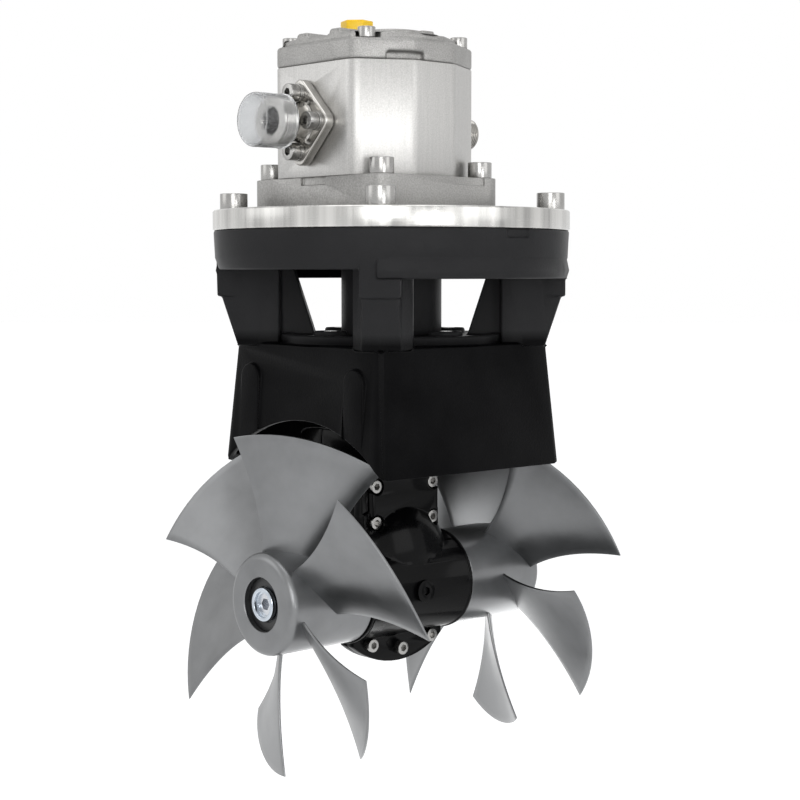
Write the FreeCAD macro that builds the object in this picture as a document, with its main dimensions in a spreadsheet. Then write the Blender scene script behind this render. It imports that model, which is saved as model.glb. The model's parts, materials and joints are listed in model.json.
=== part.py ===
"""Hydraulic bow thruster: gear motor, bracket, drive leg and two propellers.

Millimetres. Z is up. The origin is where the propeller axis (Y) crosses the
vertical drive axis (Z), on the centre line of the thruster tunnel.
"""
import FreeCAD, Part
import math
import os

import Sketcher

VEC = FreeCAD.Vector
DOC = FreeCAD.newDocument("hydraulic_bow_thruster")
NODES = {}

# Driving sizes in millimetres, degrees and counts
SIZES = (
    # Tunnel that the thruster is clamped to
    ("tunnel_inner_radius", 125.0),
    ("tunnel_wall", 6.0),
    ("running_clearance", 0.03),
    ("seat_clearance", 0.1),
    ("hole_clearance", 0.25),
    # Propellers
    ("prop_tip_gap", 2.0),
    ("prop_hub_radius", 37.5),
    ("prop_hub_length", 75.4),
    ("prop_hub_wall", 4.0),
    ("prop_hub_nose", 5.8),
    ("prop_hub_web", 11.0),
    ("prop_core_radius", 16.0),
    ("prop_core_setback", 9.0),
    ("prop_recess_radius", 19.8),
    ("prop_recess_depth", 7.0),
    ("blade_count", 6.0),
    ("blade_tip_angle", 25.35),
    ("blade_mid_setback", 49.3),
    ("blade_tip_half_width", 27.3),
    ("blade_root_half_width", 16.0),
    ("blade_root_half_chord", 17.7),
    ("blade_edge_hollow", 6.0),
    ("blade_camber", 2.5),
    ("blade_root_thickness", 5.0),
    ("blade_tip_thickness", 2.4),
    ("near_blade_turn", 11.45),
    ("far_blade_turn", -6.06),
    # Propeller shaft and what runs on it
    ("shaft_radius", 12.5),
    ("shaft_end_radius", 10.0),
    ("shaft_thread_radius", 8.0),
    ("shaft_step_setback", 2.0),
    ("shaft_end_recess", 4.5),
    ("shaft_socket_radius", 4.6),
    ("shaft_nut_radius", 12.4),
    ("shaft_nut_height", 6.0),
    ("shaft_nut_bore", 9.25),
    ("shaft_nut_bore_depth", 2.4),
    ("insert_thickness", 2.0),
    ("insert_gap", 0.4),
    ("drive_pin_radius", 2.5),
    ("drive_pin_setback", 15.0),
    ("hub_gap", 0.6),
    # Bearings and seals in the gearcase
    ("shaft_bearing_radius", 23.5),
    ("shaft_bearing_width", 12.0),
    ("shaft_bearing_start", 30.0),
    ("shaft_seal_width", 6.5),
    ("bearing_groove", 0.8),
    ("bearing_ring", 4.5),
    # Bevel gears
    ("bevel_module", 3.3333),
    ("pinion_teeth", 12.0),
    ("crown_teeth", 18.0),
    ("bevel_face", 0.68),
    ("bevel_backlash", 0.35),
    ("crown_hub_radius", 18.0),
    # Vertical drive shaft
    ("drive_shaft_radius", 10.0),
    ("pinion_back", 33.8),
    ("pinion_bearing_bottom", 36.0),
    ("pinion_bearing_radius", 23.5),
    ("pinion_bearing_width", 14.0),
    ("upper_bearing_bottom", 100.0),
    ("shaft_passage", 3.0),
    # Drive leg halves
    ("gearcase_radius", 38.0),
    ("gearcase_half_length", 50.0),
    ("gearcase_wall", 4.0),
    ("gearcase_lip", 0.8),
    ("gearcase_lip_width", 3.0),
    ("neck_half_width", 38.0),
    ("neck_ledge", 10.0),
    ("neck_panel", 17.0),
    ("neck_panel_half_width", 33.0),
    ("shoulder_ledge", 12.0),
    ("shoulder_side", 58.0),
    ("shoulder_top", 66.0),
    ("dome_height", 20.0),
    ("dome_rise", 48.0),
    ("dome_half_thickness", 33.0),
    ("dome_half_length", 48.0),
    ("keel_radius", 71.0),
    ("keel_centre", 13.0),
    ("keel_half_thickness", 8.0),
    ("leg_flange_radius", 69.0),
    ("leg_flange_bottom", 92.0),
    ("stud_seat", 100.0),
    ("leg_seal_gap", 0.5),
    # Leg screws
    ("leg_screw_radius", 3.0),
    ("leg_screw_head_radius", 5.0),
    ("leg_screw_head", 6.0),
    ("leg_screw_length", 27.0),
    ("leg_screw_spread", 28.5),
    ("leg_screw_low", 51.5),
    ("leg_screw_high", 79.0),
    ("keel_screw_spread", 30.0),
    ("keel_screw_height", -41.5),
    ("keel_screw_middle", -47.5),
    ("leg_nut_radius", 5.8),
    ("leg_nut_height", 5.0),
    ("plug_head_radius", 8.5),
    ("plug_head", 2.0),
    ("plug_radius", 6.0),
    # Clamp bolts through the tunnel wall
    ("stud_circle", 60.0),
    ("stud_radius", 5.0),
    ("stud_head_radius", 8.0),
    ("stud_head", 8.0),
    ("stud_nut_radius", 9.2),
    ("stud_nut_height", 8.0),
    # Stem tube between leg and bracket
    ("stem_radius", 30.0),
    ("stem_inner_radius", 13.0),
    ("stem_seal_radius", 18.0),
    ("stem_seal_height", 8.0),
    ("stem_ring_depth", 2.0),
    ("stem_ring_width", 3.0),
    ("stem_rise", 2.0),
    # Motor bracket
    ("saddle_half_top", 84.5),
    ("saddle_half_bottom", 91.8),
    ("saddle_bottom", 90.0),
    ("saddle_top", 186.0),
    ("saddle_wall", 6.0),
    ("saddle_roof", 10.0),
    ("saddle_corner", 7.0),
    ("bulge_reach", 90.0),
    ("side_bulge_reach", 86.0),
    ("arch_bulge_centre", 60.0),
    ("arch_bulge_half", 11.0),
    ("arch_bulge_top", 171.0),
    ("side_bulge_centre", 33.0),
    ("side_bulge_half", 27.0),
    ("side_bulge_top", 176.0),
    ("disc_radius", 84.0),
    ("disc_thickness", 6.0),
    ("disc_rim", 1.0),
    ("disc_rim_width", 9.0),
    ("boss_radius", 12.5),
    ("boss_height", 4.0),
    ("nut_recess", 9.0),
    ("leg_outer_radius", 130.5),
    ("leg_foot_radius", 116.5),
    ("leg_half_width", 12.5),
    ("leg_web_half_width", 21.0),
    ("leg_web_radius", 100.0),
    ("leg_inner_radius", 83.0),
    ("leg_rib_half_width", 7.0),
    ("leg_rib_foot", 57.0),
    ("leg_rib_head", 74.0),
    ("leg_head_height", 221.0),
    ("leg_head_half_width", 14.2),
    ("leg_slant_top", 227.0),
    ("bracket_top", 270.0),
    ("ring_radius", 134.0),
    ("ring_plate", 14.0),
    ("ring_depth", 29.0),
    ("ring_wall", 13.0),
    ("ring_bore", 33.0),
    ("flare_depth", 35.5),
    ("flare_angle", 92.0),
    ("notch_angle", -44.5),
    # Coupling guard and coupling
    ("guard_radius", 38.0),
    ("guard_wall", 3.5),
    ("coupling_radius", 27.0),
    ("coupling_bottom", 201.0),
    ("coupling_hub", 14.0),
    ("coupling_jaw", 11.0),
    ("coupling_jaw_angle", 52.0),
    ("coupling_gap", 1.0),
    ("spider_inner_radius", 10.0),
    # Adaptor plate
    ("plate_overhang", 0.5),
    ("plate_thickness", 15.0),
    ("plate_chamfer", 1.0),
    ("plate_bolt_circle", 120.0),
    ("plate_bolt_radius", 7.0),
    ("plate_bolt_head_radius", 10.5),
    ("plate_bolt_head", 13.5),
    ("plate_bolt_length", 36.0),
    # Motor front flange
    ("motor_offset", -19.0),
    ("pilot_radius", 30.15),
    ("pilot_depth", 6.0),
    ("flange_thickness", 24.5),
    ("flange_bolt_x", 64.05),
    ("flange_bolt_y", 49.2),
    ("flange_margin", 11.5),
    ("flange_bolt_radius", 6.0),
    ("flange_bolt_head_radius", 9.0),
    ("flange_bolt_head", 12.0),
    ("flange_bolt_length", 35.5),
    ("motor_seal_radius", 17.0),
    ("motor_seal_width", 8.0),
    ("flange_notch_width", 29.0),
    ("flange_notch_height", 6.0),
    ("flange_notch_start", 14.5),
    # Motor body and cover
    ("body_half_x", 67.5),
    ("body_half_y", 61.0),
    ("body_chamfer_x", 22.7),
    ("body_chamfer_y", 41.0),
    ("body_corner", 12.0),
    ("body_height", 83.0),
    ("cover_thickness", 15.5),
    ("cover_rib_height", 10.0),
    ("cover_rib_half", 6.0),
    ("cover_dome_radius", 27.0),
    ("cover_inset", 5.0),
    ("cover_plateau", 5.0),
    ("body_bolt_x", 44.0),
    ("body_bolt_y", 46.0),
    ("body_bolt_radius", 4.0),
    ("body_bolt_head_radius", 6.5),
    ("body_bolt_head", 8.0),
    ("body_bolt_grip", 14.0),
    # Gear pair in the motor
    ("spur_module", 3.1667),
    ("spur_teeth", 12.0),
    ("spur_backlash", 0.35),
    ("gear_tip_clearance", 0.08),
    ("gear_end_clearance", 0.06),
    ("block_height", 20.0),
    ("journal_radius", 10.0),
    ("motor_shaft_radius", 9.5),
    # Ports
    ("port_x", -25.0),
    ("port_rise", 39.75),
    ("port_bore", 10.0),
    ("port_plate_half", 24.5),
    ("port_plate_corner", 6.0),
    ("port_plate", 8.0),
    ("port_bolt_circle", 21.5),
    ("port_bolt_radius", 4.0),
    ("port_bolt_head_radius", 6.5),
    ("port_bolt_head", 8.0),
    ("port_bolt_length", 24.0),
    ("port_washer", 3.0),
    ("port_washer_radius", 7.0),
    ("port_neck_radius", 14.0),
    ("port_neck_length", 10.5),
    ("port_thread_radius", 18.5),
    ("port_shoulder", 4.0),
    ("port_thread_length", 12.0),
    ("far_neck_length", 17.0),
    ("far_thread_radius", 12.5),
    ("far_shoulder", 3.0),
    ("far_thread_length", 16.0),
    ("cap_wall", 1.6),
    ("cap_depth", 11.0),
    ("cap_room", 14.0),
    ("cap_end", 3.0),
    # Case drain plug on the cover
    ("drain_x", -40.0),
    ("drain_boss_radius", 12.0),
    ("drain_boss_height", 4.0),
    ("drain_hex_radius", 12.7),
    ("drain_hex_height", 9.0),
    ("drain_thread_radius", 6.5),
    ("drain_thread_length", 10.0),
)


class Size:
    """A number kept together with the spreadsheet expression that gives it."""

    def __init__(self, value, text):
        self.value = float(value)
        self.text = text

    def __add__(self, other):
        other = size_of(other)
        return Size(self.value + other.value, "(%s + %s)" % (self.text, other.text))

    def __radd__(self, other):
        return size_of(other) + self

    def __sub__(self, other):
        other = size_of(other)
        return Size(self.value - other.value, "(%s - %s)" % (self.text, other.text))

    def __rsub__(self, other):
        return size_of(other) - self

    def __mul__(self, other):
        other = size_of(other)
        return Size(self.value * other.value, "(%s * %s)" % (self.text, other.text))

    def __rmul__(self, other):
        return size_of(other) * self

    def __truediv__(self, other):
        other = size_of(other)
        return Size(self.value / other.value, "(%s / %s)" % (self.text, other.text))

    def __neg__(self):
        return Size(-self.value, "(0 - %s)" % self.text)


def size_of(item):
    """Return item as a Size; a plain number becomes a constant."""
    if isinstance(item, Size):
        return item
    return Size(item, "%.6f" % float(item))


class Sheet:
    """The named sizes, one attribute for each row of the spreadsheet."""

    def __init__(self, rows):
        table = DOC.addObject("Spreadsheet::Sheet", "Sizes")
        for number, (name, value) in enumerate(rows, start=1):
            table.set("A%d" % number, name)
            table.set("B%d" % number, str(value))
            table.setAlias("B%d" % number, name)
            setattr(self, name, Size(value, "Sizes." + name))


S = Sheet(SIZES)
DOC.recompute()

# Heights and radii that several pieces share
TIP_RADIUS = S.tunnel_inner_radius - S.prop_tip_gap
TUNNEL_OUTER = S.tunnel_inner_radius + S.tunnel_wall
HUB_INNER = S.gearcase_half_length + S.hub_gap
HUB_OUTER = HUB_INNER + S.prop_hub_length
DISC_TOP = S.saddle_top + S.disc_thickness
RING_UNDER = S.bracket_top - S.ring_plate
PLATE_TOP = S.bracket_top + S.plate_thickness
FLANGE_TOP = PLATE_TOP + S.flange_thickness
BODY_TOP = FLANGE_TOP + S.body_height
COVER_TOP = BODY_TOP + S.cover_thickness
RIB_TOP = COVER_TOP + S.cover_rib_height
PORT_HEIGHT = FLANGE_TOP + S.port_rise
GEAR_CENTRES = S.spur_module * S.spur_teeth
GEAR_TIP = (GEAR_CENTRES + 1.8 * S.spur_module) / 2
GEAR_BORE = GEAR_TIP + S.gear_tip_clearance
UPPER_BEARING_TOP = S.upper_bearing_bottom + S.pinion_bearing_width
SEAL_START = S.shaft_bearing_start + S.shaft_bearing_width + 0.5
STEM_TOP = DISC_TOP + S.stem_rise
PORT_FACE = S.body_half_y + S.port_plate
PORT_END = PORT_FACE + S.port_neck_length + S.port_shoulder + S.port_thread_length
FLANGE_HALF_X = S.flange_bolt_x + S.flange_margin
FLANGE_HALF_Y = S.flange_bolt_y + S.flange_margin
SHAFT_END = HUB_OUTER - S.shaft_end_recess
NUT_SEAT = HUB_OUTER - S.prop_recess_depth

TURN = {
    "+z": FreeCAD.Rotation(VEC(0, 0, 1), 0),
    "-z": FreeCAD.Rotation(VEC(1, 0, 0), 180),
    "+x": FreeCAD.Rotation(VEC(0, 1, 0), 90),
    "-x": FreeCAD.Rotation(VEC(0, 1, 0), -90),
    "+y": FreeCAD.Rotation(VEC(1, 0, 0), -90),
    "-y": FreeCAD.Rotation(VEC(1, 0, 0), 90),
}


def shift(point, axis, amount):
    """Return point moved by amount along a signed axis such as "+x"."""
    moved = [size_of(item) for item in point]
    index = "xyz".index(axis[1])
    if axis[0] == "+":
        moved[index] = moved[index] + amount
    else:
        moved[index] = moved[index] - amount
    return tuple(moved)


def flipped(axis):
    """Return the opposite signed axis."""
    return ("-" if axis[0] == "+" else "+") + axis[1]


def bind(item, prop, size):
    """Tie a property to a size."""
    item.setExpression(prop, size_of(size).text)


def place(item, point, axis="+z"):
    """Tie an object's place to three sizes, with its own Z along axis."""
    numbers = [size_of(value).value for value in point]
    item.Placement = FreeCAD.Placement(VEC(*numbers), TURN[axis])
    for letter, value in zip("xyz", point):
        bind(item, "Placement.Base." + letter, value)


def cylinder(name, point, axis, radius, length):
    """A cylinder that starts at point and runs along axis."""
    item = DOC.addObject("Part::Cylinder", name)
    bind(item, "Radius", radius)
    bind(item, "Height", length)
    place(item, point, axis)
    return item


def hexagon(name, point, axis, corner_radius, length):
    """A hexagonal prism that starts at point and runs along axis."""
    item = DOC.addObject("Part::Prism", name)
    item.Polygon = 6
    bind(item, "Circumradius", corner_radius)
    bind(item, "Height", length)
    place(item, point, axis)
    return item


def box(name, low, high):
    """A box between two corners given as sizes."""
    item = DOC.addObject("Part::Box", name)
    for prop, low_value, high_value in zip(("Length", "Width", "Height"), low, high):
        bind(item, prop, size_of(high_value) - low_value)
    place(item, low)
    return item


def cut(name, base, tool):
    """Base with tool taken away."""
    item = DOC.addObject("Part::Cut", name)
    item.Base = base
    item.Tool = tool
    return item


def fuse(name, pieces):
    """Several pieces joined into one."""
    item = DOC.addObject("Part::MultiFuse", name)
    item.Shapes = pieces
    return item


def group(name, pieces):
    """Separate solids kept side by side in one shape."""
    item = DOC.addObject("Part::Compound", name)
    item.Links = pieces
    return item


def keep(name, item):
    """Give the finished sub-part its name and list it for export."""
    item.Label = name
    NODES[name] = item
    return item


def origin_part(body, role):
    """The body's own origin plane or axis with this role."""
    for feature in body.Origin.OriginFeatures:
        if feature.Role == role:
            return feature
    raise RuntimeError("no origin feature " + role)


def new_body(name):
    """An empty body."""
    return DOC.addObject("PartDesign::Body", name)


def sketch_on(body, name, role, offset=(0, 0, 0), turn=0.0):
    """A sketch on an origin plane, moved in the plane's own directions."""
    sketch = body.newObject("Sketcher::SketchObject", name)
    sketch.AttachmentSupport = [(origin_part(body, role), "")]
    sketch.MapMode = "FlatFace"
    numbers = [size_of(value).value for value in offset]
    rotation = FreeCAD.Rotation(VEC(0, 0, 1), turn)
    sketch.AttachmentOffset = FreeCAD.Placement(VEC(*numbers), rotation)
    for letter, value in zip("xyz", offset):
        if isinstance(value, Size):
            bind(sketch, "AttachmentOffset.Base." + letter, value)
    return sketch


def fix_point(sketch, curve, spot, x, y):
    """Tie one point of a curve to two sizes."""
    for kind, value in (("DistanceX", x), ("DistanceY", y)):
        value = size_of(value)
        rule = Sketcher.Constraint(kind, -1, 1, curve, spot, value.value)
        index = sketch.addConstraint(rule)
        if "Sizes." in value.text:
            bind(sketch, "Constraints[%d]" % index, value)


def draw_outline(sketch, points):
    """A closed outline of straight lines through the points."""
    numbers = [(size_of(x).value, size_of(y).value) for x, y in points]
    first = sketch.GeometryCount
    count = len(points)
    for index in range(count):
        start = numbers[index]
        end = numbers[(index + 1) % count]
        line = Part.LineSegment(VEC(start[0], start[1], 0), VEC(end[0], end[1], 0))
        sketch.addGeometry(line, False)
    for index in range(count):
        after = first + (index + 1) % count
        sketch.addConstraint(Sketcher.Constraint("Coincident", first + index, 2, after, 1))
    for index, (x, y) in enumerate(points):
        fix_point(sketch, first + index, 1, x, y)


def draw_circle(sketch, x, y, radius):
    """A circle with its centre and radius tied to sizes."""
    radius = size_of(radius)
    centre = VEC(size_of(x).value, size_of(y).value, 0)
    curve = sketch.GeometryCount
    sketch.addGeometry(Part.Circle(centre, VEC(0, 0, 1), radius.value), False)
    fix_point(sketch, curve, 3, x, y)
    index = sketch.addConstraint(Sketcher.Constraint("Radius", curve, radius.value))
    bind(sketch, "Constraints[%d]" % index, radius)


def draw_arch(sketch, x, half, low, top):
    """A door-shaped outline: straight sides and a half-round top."""
    spring = top - half
    steps = 12
    points = [(x - half, low), (x + half, low)]
    for step in range(steps + 1):
        angle = math.pi * step / steps
        points.append((x + half * math.cos(angle), spring + half * math.sin(angle)))
    draw_outline(sketch, points)


def revolve(body, name, sketch, axis, angle=360.0, middle=False):
    """Turn a sketch about one of its own axes."""
    feature = body.newObject("PartDesign::Revolution", name)
    feature.Profile = sketch
    feature.ReferenceAxis = (sketch, [axis])
    feature.Midplane = middle
    feature.Angle = size_of(angle).value
    if isinstance(angle, Size):
        bind(feature, "Angle", angle)
    return feature


def groove(body, name, sketch, axis):
    """Cut a sketch turned once round one of its own axes."""
    feature = body.newObject("PartDesign::Groove", name)
    feature.Profile = sketch
    feature.ReferenceAxis = (sketch, [axis])
    feature.Angle = 360.0
    return feature


def pad(body, name, sketch, length, middle=False, backwards=False):
    """Raise a sketch by a length."""
    feature = body.newObject("PartDesign::Pad", name)
    feature.Profile = sketch
    bind(feature, "Length", length)
    feature.SideType = "Symmetric" if middle else "One side"
    feature.Reversed = backwards
    return feature


def pocket(body, name, sketch, length=None, backwards=False):
    """Cut a sketch through everything, or to a depth on one side."""
    feature = body.newObject("PartDesign::Pocket", name)
    feature.Profile = sketch
    feature.Reversed = backwards
    if length is None:
        feature.SideType = "Symmetric"
        feature.Type = "ThroughAll"
    else:
        feature.SideType = "One side"
        bind(feature, "Length", length)
    return feature


def polar(body, name, features, count):
    """Repeat features evenly round the Z axis."""
    pattern = body.newObject("PartDesign::PolarPattern", name)
    pattern.Originals = features
    pattern.Axis = (origin_part(body, "Z_Axis"), [""])
    pattern.Angle = 360.0
    pattern.Occurrences = count
    body.Tip = pattern
    return pattern


def turned(name, axis, profile, at=(0, 0, 0)):
    """A body turned about X, Y or Z; profile is a list of (radius, distance)."""
    body = new_body(name)
    x, y, z = at
    if axis == "z":
        sketch = sketch_on(body, name + "_profile", "XZ_Plane", (x, z, -size_of(y)))
        draw_outline(sketch, profile)
        revolve(body, name + "_turned", sketch, "V_Axis")
    elif axis == "y":
        sketch = sketch_on(body, name + "_profile", "YZ_Plane", (y, z, x))
        draw_outline(sketch, [(along, radius) for radius, along in profile])
        revolve(body, name + "_turned", sketch, "H_Axis")
    else:
        sketch = sketch_on(body, name + "_profile", "XZ_Plane", (x, z, -size_of(y)))
        draw_outline(sketch, [(along, radius) for radius, along in profile])
        revolve(body, name + "_turned", sketch, "H_Axis")
    return body


PLANE_OF = {"z": "XY_Plane", "y": "XZ_Plane", "x": "YZ_Plane"}


def drill(body, name, axis, centres, radius):
    """Round holes right through a body along an axis."""
    sketch = sketch_on(body, name + "_holes", PLANE_OF[axis])
    for x, y in centres:
        draw_circle(sketch, x, y, radius)
    return pocket(body, name, sketch)


def counterbore(body, name, centres, radius, level, depth, upwards=False):
    """Round vertical recesses that start at a level."""
    sketch = sketch_on(body, name + "_holes", "XY_Plane", (0, 0, level))
    for x, y in centres:
        draw_circle(sketch, x, y, radius)
    return pocket(body, name, sketch, depth, upwards)


def ring_profile(inner, outer, low, high):
    """The four corners of a plain ring's section."""
    return [(inner, low), (outer, low), (outer, high), (inner, high)]


def diagonal_points(radius):
    """Four points at 45 degrees on a circle about Z."""
    reach = radius * math.sqrt(0.5)
    return [(reach, reach), (-reach, reach), (-reach, -reach), (reach, -reach)]


def cross_points(radius):
    """Four points on the X and Y axes."""
    return [(radius, 0), (0, radius), (-radius, 0), (0, -radius)]


def rectangle_points(x, y, half_x, half_y):
    """Corners of a rectangle about (x, y)."""
    return [
        (x + half_x, y + half_y),
        (x - half_x, y + half_y),
        (x - half_x, y - half_y),
        (x + half_x, y - half_y),
    ]


def round_upright_edges(body, name, radius, shortest):
    """Round the body's long vertical edges."""
    DOC.recompute()
    base = body.Tip
    names = []
    for index, edge in enumerate(base.Shape.Edges, start=1):
        if len(edge.Vertexes) < 2 or edge.Length < shortest:
            continue
        run = edge.Vertexes[-1].Point - edge.Vertexes[0].Point
        if abs(run.z) > 0.95 * run.Length:
            names.append("Edge%d" % index)
    feature = body.newObject("PartDesign::Fillet", name)
    feature.Base = (base, names)
    bind(feature, "Radius", radius)
    return feature


def screws(name, seats, axis, shank, length, head_radius, head, key_radius):
    """Socket head screws; each head stands on its seat, facing along axis."""
    pieces = []
    for index, seat in enumerate(seats):
        tag = "%s_%d" % (name, index)
        head_part = cylinder(tag + "_head", seat, axis, head_radius, head)
        shank_part = cylinder(tag + "_shank", seat, flipped(axis), shank, length)
        key_start = shift(seat, axis, head * 0.45)
        key = hexagon(tag + "_key", key_start, axis, key_radius, head)
        whole = fuse(tag + "_whole", [head_part, shank_part])
        pieces.append(cut(tag, whole, key))
    return pieces


def nuts(name, seats, axis, corner_radius, height, bore):
    """Hexagon nuts standing on their seats, facing along axis."""
    pieces = []
    for index, seat in enumerate(seats):
        tag = "%s_%d" % (name, index)
        outer = hexagon(tag + "_hex", seat, axis, corner_radius, height)
        inner = cylinder(tag + "_bore", seat, axis, bore, height)
        pieces.append(cut(tag, outer, inner))
    return pieces


def involute(angle):
    """The involute function of an angle in radians."""
    return math.tan(angle) - angle


def tooth_angles(teeth, module, backlash, radii):
    """Half the tooth's angle at each radius of an involute gear."""
    pressure = math.radians(25.0)
    pitch = teeth * module / 2
    base = pitch * math.cos(pressure)
    result = []
    for radius in radii:
        local = math.acos(min(1.0, base / max(radius, base)))
        half = math.pi / (2 * teeth) - backlash / (2 * pitch)
        result.append(half + involute(pressure) - involute(local))
    return result


def gear_radii(pitch, module, steps=6):
    """Radii from the root to the tip of a tooth."""
    low = pitch - 1.12 * module
    high = pitch + 0.9 * module
    return [low + (high - low) * index / steps for index in range(steps + 1)]


def toothed_outline(teeth, radii, halves, first):
    """Closed list of points round a gear, with a tooth centred on first."""
    points = []
    for tooth in range(int(teeth)):
        middle = first + 2 * math.pi * tooth / teeth
        for radius, half in zip(radii, halves):
            points.append((radius, middle - half))
        for radius, half in zip(reversed(radii), reversed(halves)):
            points.append((radius, middle + half))
    return [VEC(r * math.cos(angle), r * math.sin(angle), 0) for r, angle in points]


def prism_of(points, low, high):
    """An upright prism on an outline."""
    base = [VEC(p.x, p.y, low) for p in points]
    face = Part.Face(Part.makePolygon(base + base[:1]))
    return face.extrude(VEC(0, 0, high - low))


def frustum_of(points, level, low, high):
    """A solid whose outline at level shrinks to a point at the origin."""
    wires = []
    for height in (low, high):
        scale = height / level
        ring = [VEC(p.x * scale, p.y * scale, height) for p in points]
        wires.append(Part.makePolygon(ring + ring[:1]))
    faces = [Part.Face(wire) for wire in wires]
    count = len(points)
    lower = [vertex.Point for vertex in wires[0].OrderedVertexes]
    upper = [vertex.Point for vertex in wires[1].OrderedVertexes]
    for index in range(count):
        after = (index + 1) % count
        corners = [lower[index], lower[after], upper[after], upper[index]]
        faces.append(Part.Face(Part.makePolygon(corners + corners[:1])))
    return Part.Solid(Part.makeShell(faces))


def bevel_blank(teeth, mate, first):
    """Straight bevel teeth about Z with their apex at the origin."""
    module = S.bevel_module.value
    cone = math.atan2(teeth, mate)
    pitch = teeth * module / 2
    reach = pitch / math.sin(cone)
    virtual = pitch / math.cos(cone)
    radii = gear_radii(virtual, module)
    halves = tooth_angles(teeth / math.cos(cone), module, S.bevel_backlash.value, radii)
    level = reach * math.cos(cone)
    flat_radii = []
    for radius in radii:
        height = reach / math.cos(cone) - radius * math.sin(cone)
        flat_radii.append(radius * math.cos(cone) * level / height)
    flat_halves = [half / math.cos(cone) for half in halves]
    points = toothed_outline(teeth, flat_radii, flat_halves, first)
    root_height = reach / math.cos(cone) - radii[0] * math.sin(cone)
    low = level * S.bevel_face.value
    solid = frustum_of(points, level, low, root_height)
    peak = reach / math.cos(cone)
    edge = (peak + 5) / math.tan(cone)
    corners = [VEC(0, 0, -5), VEC(edge, 0, -5), VEC(0, 0, peak)]
    face = Part.Face(Part.makePolygon(corners + corners[:1]))
    back_cone = face.revolve(VEC(0, 0, 0), VEC(0, 0, 1), 360)
    return solid.common(back_cone), low, root_height


def shaped(name, shape):
    """An object whose shape comes straight from a calculation."""
    item = DOC.addObject("Part::Feature", name)
    item.Shape = shape
    return item


def make_adaptor_plate():
    """Round turned plate between the bracket and the motor flange."""
    edge = S.plate_chamfer
    radius = S.ring_radius + S.plate_overhang
    profile = [
        (S.pilot_radius + S.seat_clearance, S.bracket_top),
        (radius - edge, S.bracket_top),
        (radius, S.bracket_top + edge),
        (radius, PLATE_TOP - edge),
        (radius - edge, PLATE_TOP),
        (S.pilot_radius + S.seat_clearance, PLATE_TOP),
    ]
    body = turned("plate_body", "z", profile)
    holes = diagonal_points(S.plate_bolt_circle)
    drill(body, "plate_bolt_holes", "z", holes, S.plate_bolt_radius + S.hole_clearance)
    taps = rectangle_points(S.motor_offset, size_of(0), S.flange_bolt_x, S.flange_bolt_y)
    drill(body, "plate_taps", "z", taps, S.flange_bolt_radius)
    keep("adaptor_plate", body)


def square_outline(sketch, half):
    """A square about the sketch's origin."""
    draw_outline(sketch, [(half, half), (-half, half), (-half, -half), (half, -half)])


def rounded_square_outline(sketch, half, corner):
    """A square with each corner rounded by three short flats."""
    steps = 3
    middle = half - corner
    points = []
    for quarter in range(4):
        sign_x = (1, -1, -1, 1)[quarter]
        sign_y = (1, 1, -1, -1)[quarter]
        for step in range(steps + 1):
            angle = math.radians(90.0 * (quarter + step / steps))
            x = sign_x * middle + corner * math.cos(angle)
            points.append((x, sign_y * middle + corner * math.sin(angle)))
    draw_outline(sketch, points)


def add_saddle(body):
    """Four-sided hollow saddle, wider at the foot, arched over the tunnel."""
    low = sketch_on(body, "saddle_low", "XY_Plane", (0, 0, S.saddle_bottom))
    rounded_square_outline(low, S.saddle_half_bottom, S.saddle_corner)
    high = sketch_on(body, "saddle_high", "XY_Plane", (0, 0, S.saddle_top))
    rounded_square_outline(high, S.saddle_half_top, S.saddle_corner)
    loft = body.newObject("PartDesign::AdditiveLoft", "saddle_outer")
    loft.Profile = low
    loft.Sections = [high]
    loft.Ruled = True
    for side in (-1, 1):
        centre = side * S.arch_bulge_centre
        arch = sketch_on(body, "arch_bulge_%d" % (side + 1), "XZ_Plane")
        draw_arch(arch, centre, S.arch_bulge_half, S.saddle_bottom, S.arch_bulge_top)
        pad(body, "arch_rib_%d" % (side + 1), arch, 2 * S.bulge_reach, middle=True)
        centre = side * S.side_bulge_centre
        wide = sketch_on(body, "side_bulge_%d" % (side + 1), "YZ_Plane")
        draw_arch(wide, centre, S.side_bulge_half, S.saddle_bottom, S.side_bulge_top)
        pad(body, "side_rib_%d" % (side + 1), wide, 2 * S.side_bulge_reach, middle=True)
    under = sketch_on(body, "hollow_low", "XY_Plane", (0, 0, S.saddle_bottom))
    square_outline(under, S.saddle_half_bottom - S.saddle_wall)
    roof = sketch_on(body, "hollow_high", "XY_Plane", (0, 0, S.saddle_top - S.saddle_roof))
    square_outline(roof, S.saddle_half_top - S.saddle_wall)
    hollow = body.newObject("PartDesign::SubtractiveLoft", "saddle_hollow")
    hollow.Profile = under
    hollow.Sections = [roof]
    hollow.Ruled = True
    arch = sketch_on(body, "tunnel_arch", "XZ_Plane")
    draw_circle(arch, 0, 0, TUNNEL_OUTER)
    pocket(body, "tunnel_seat", arch)


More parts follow.
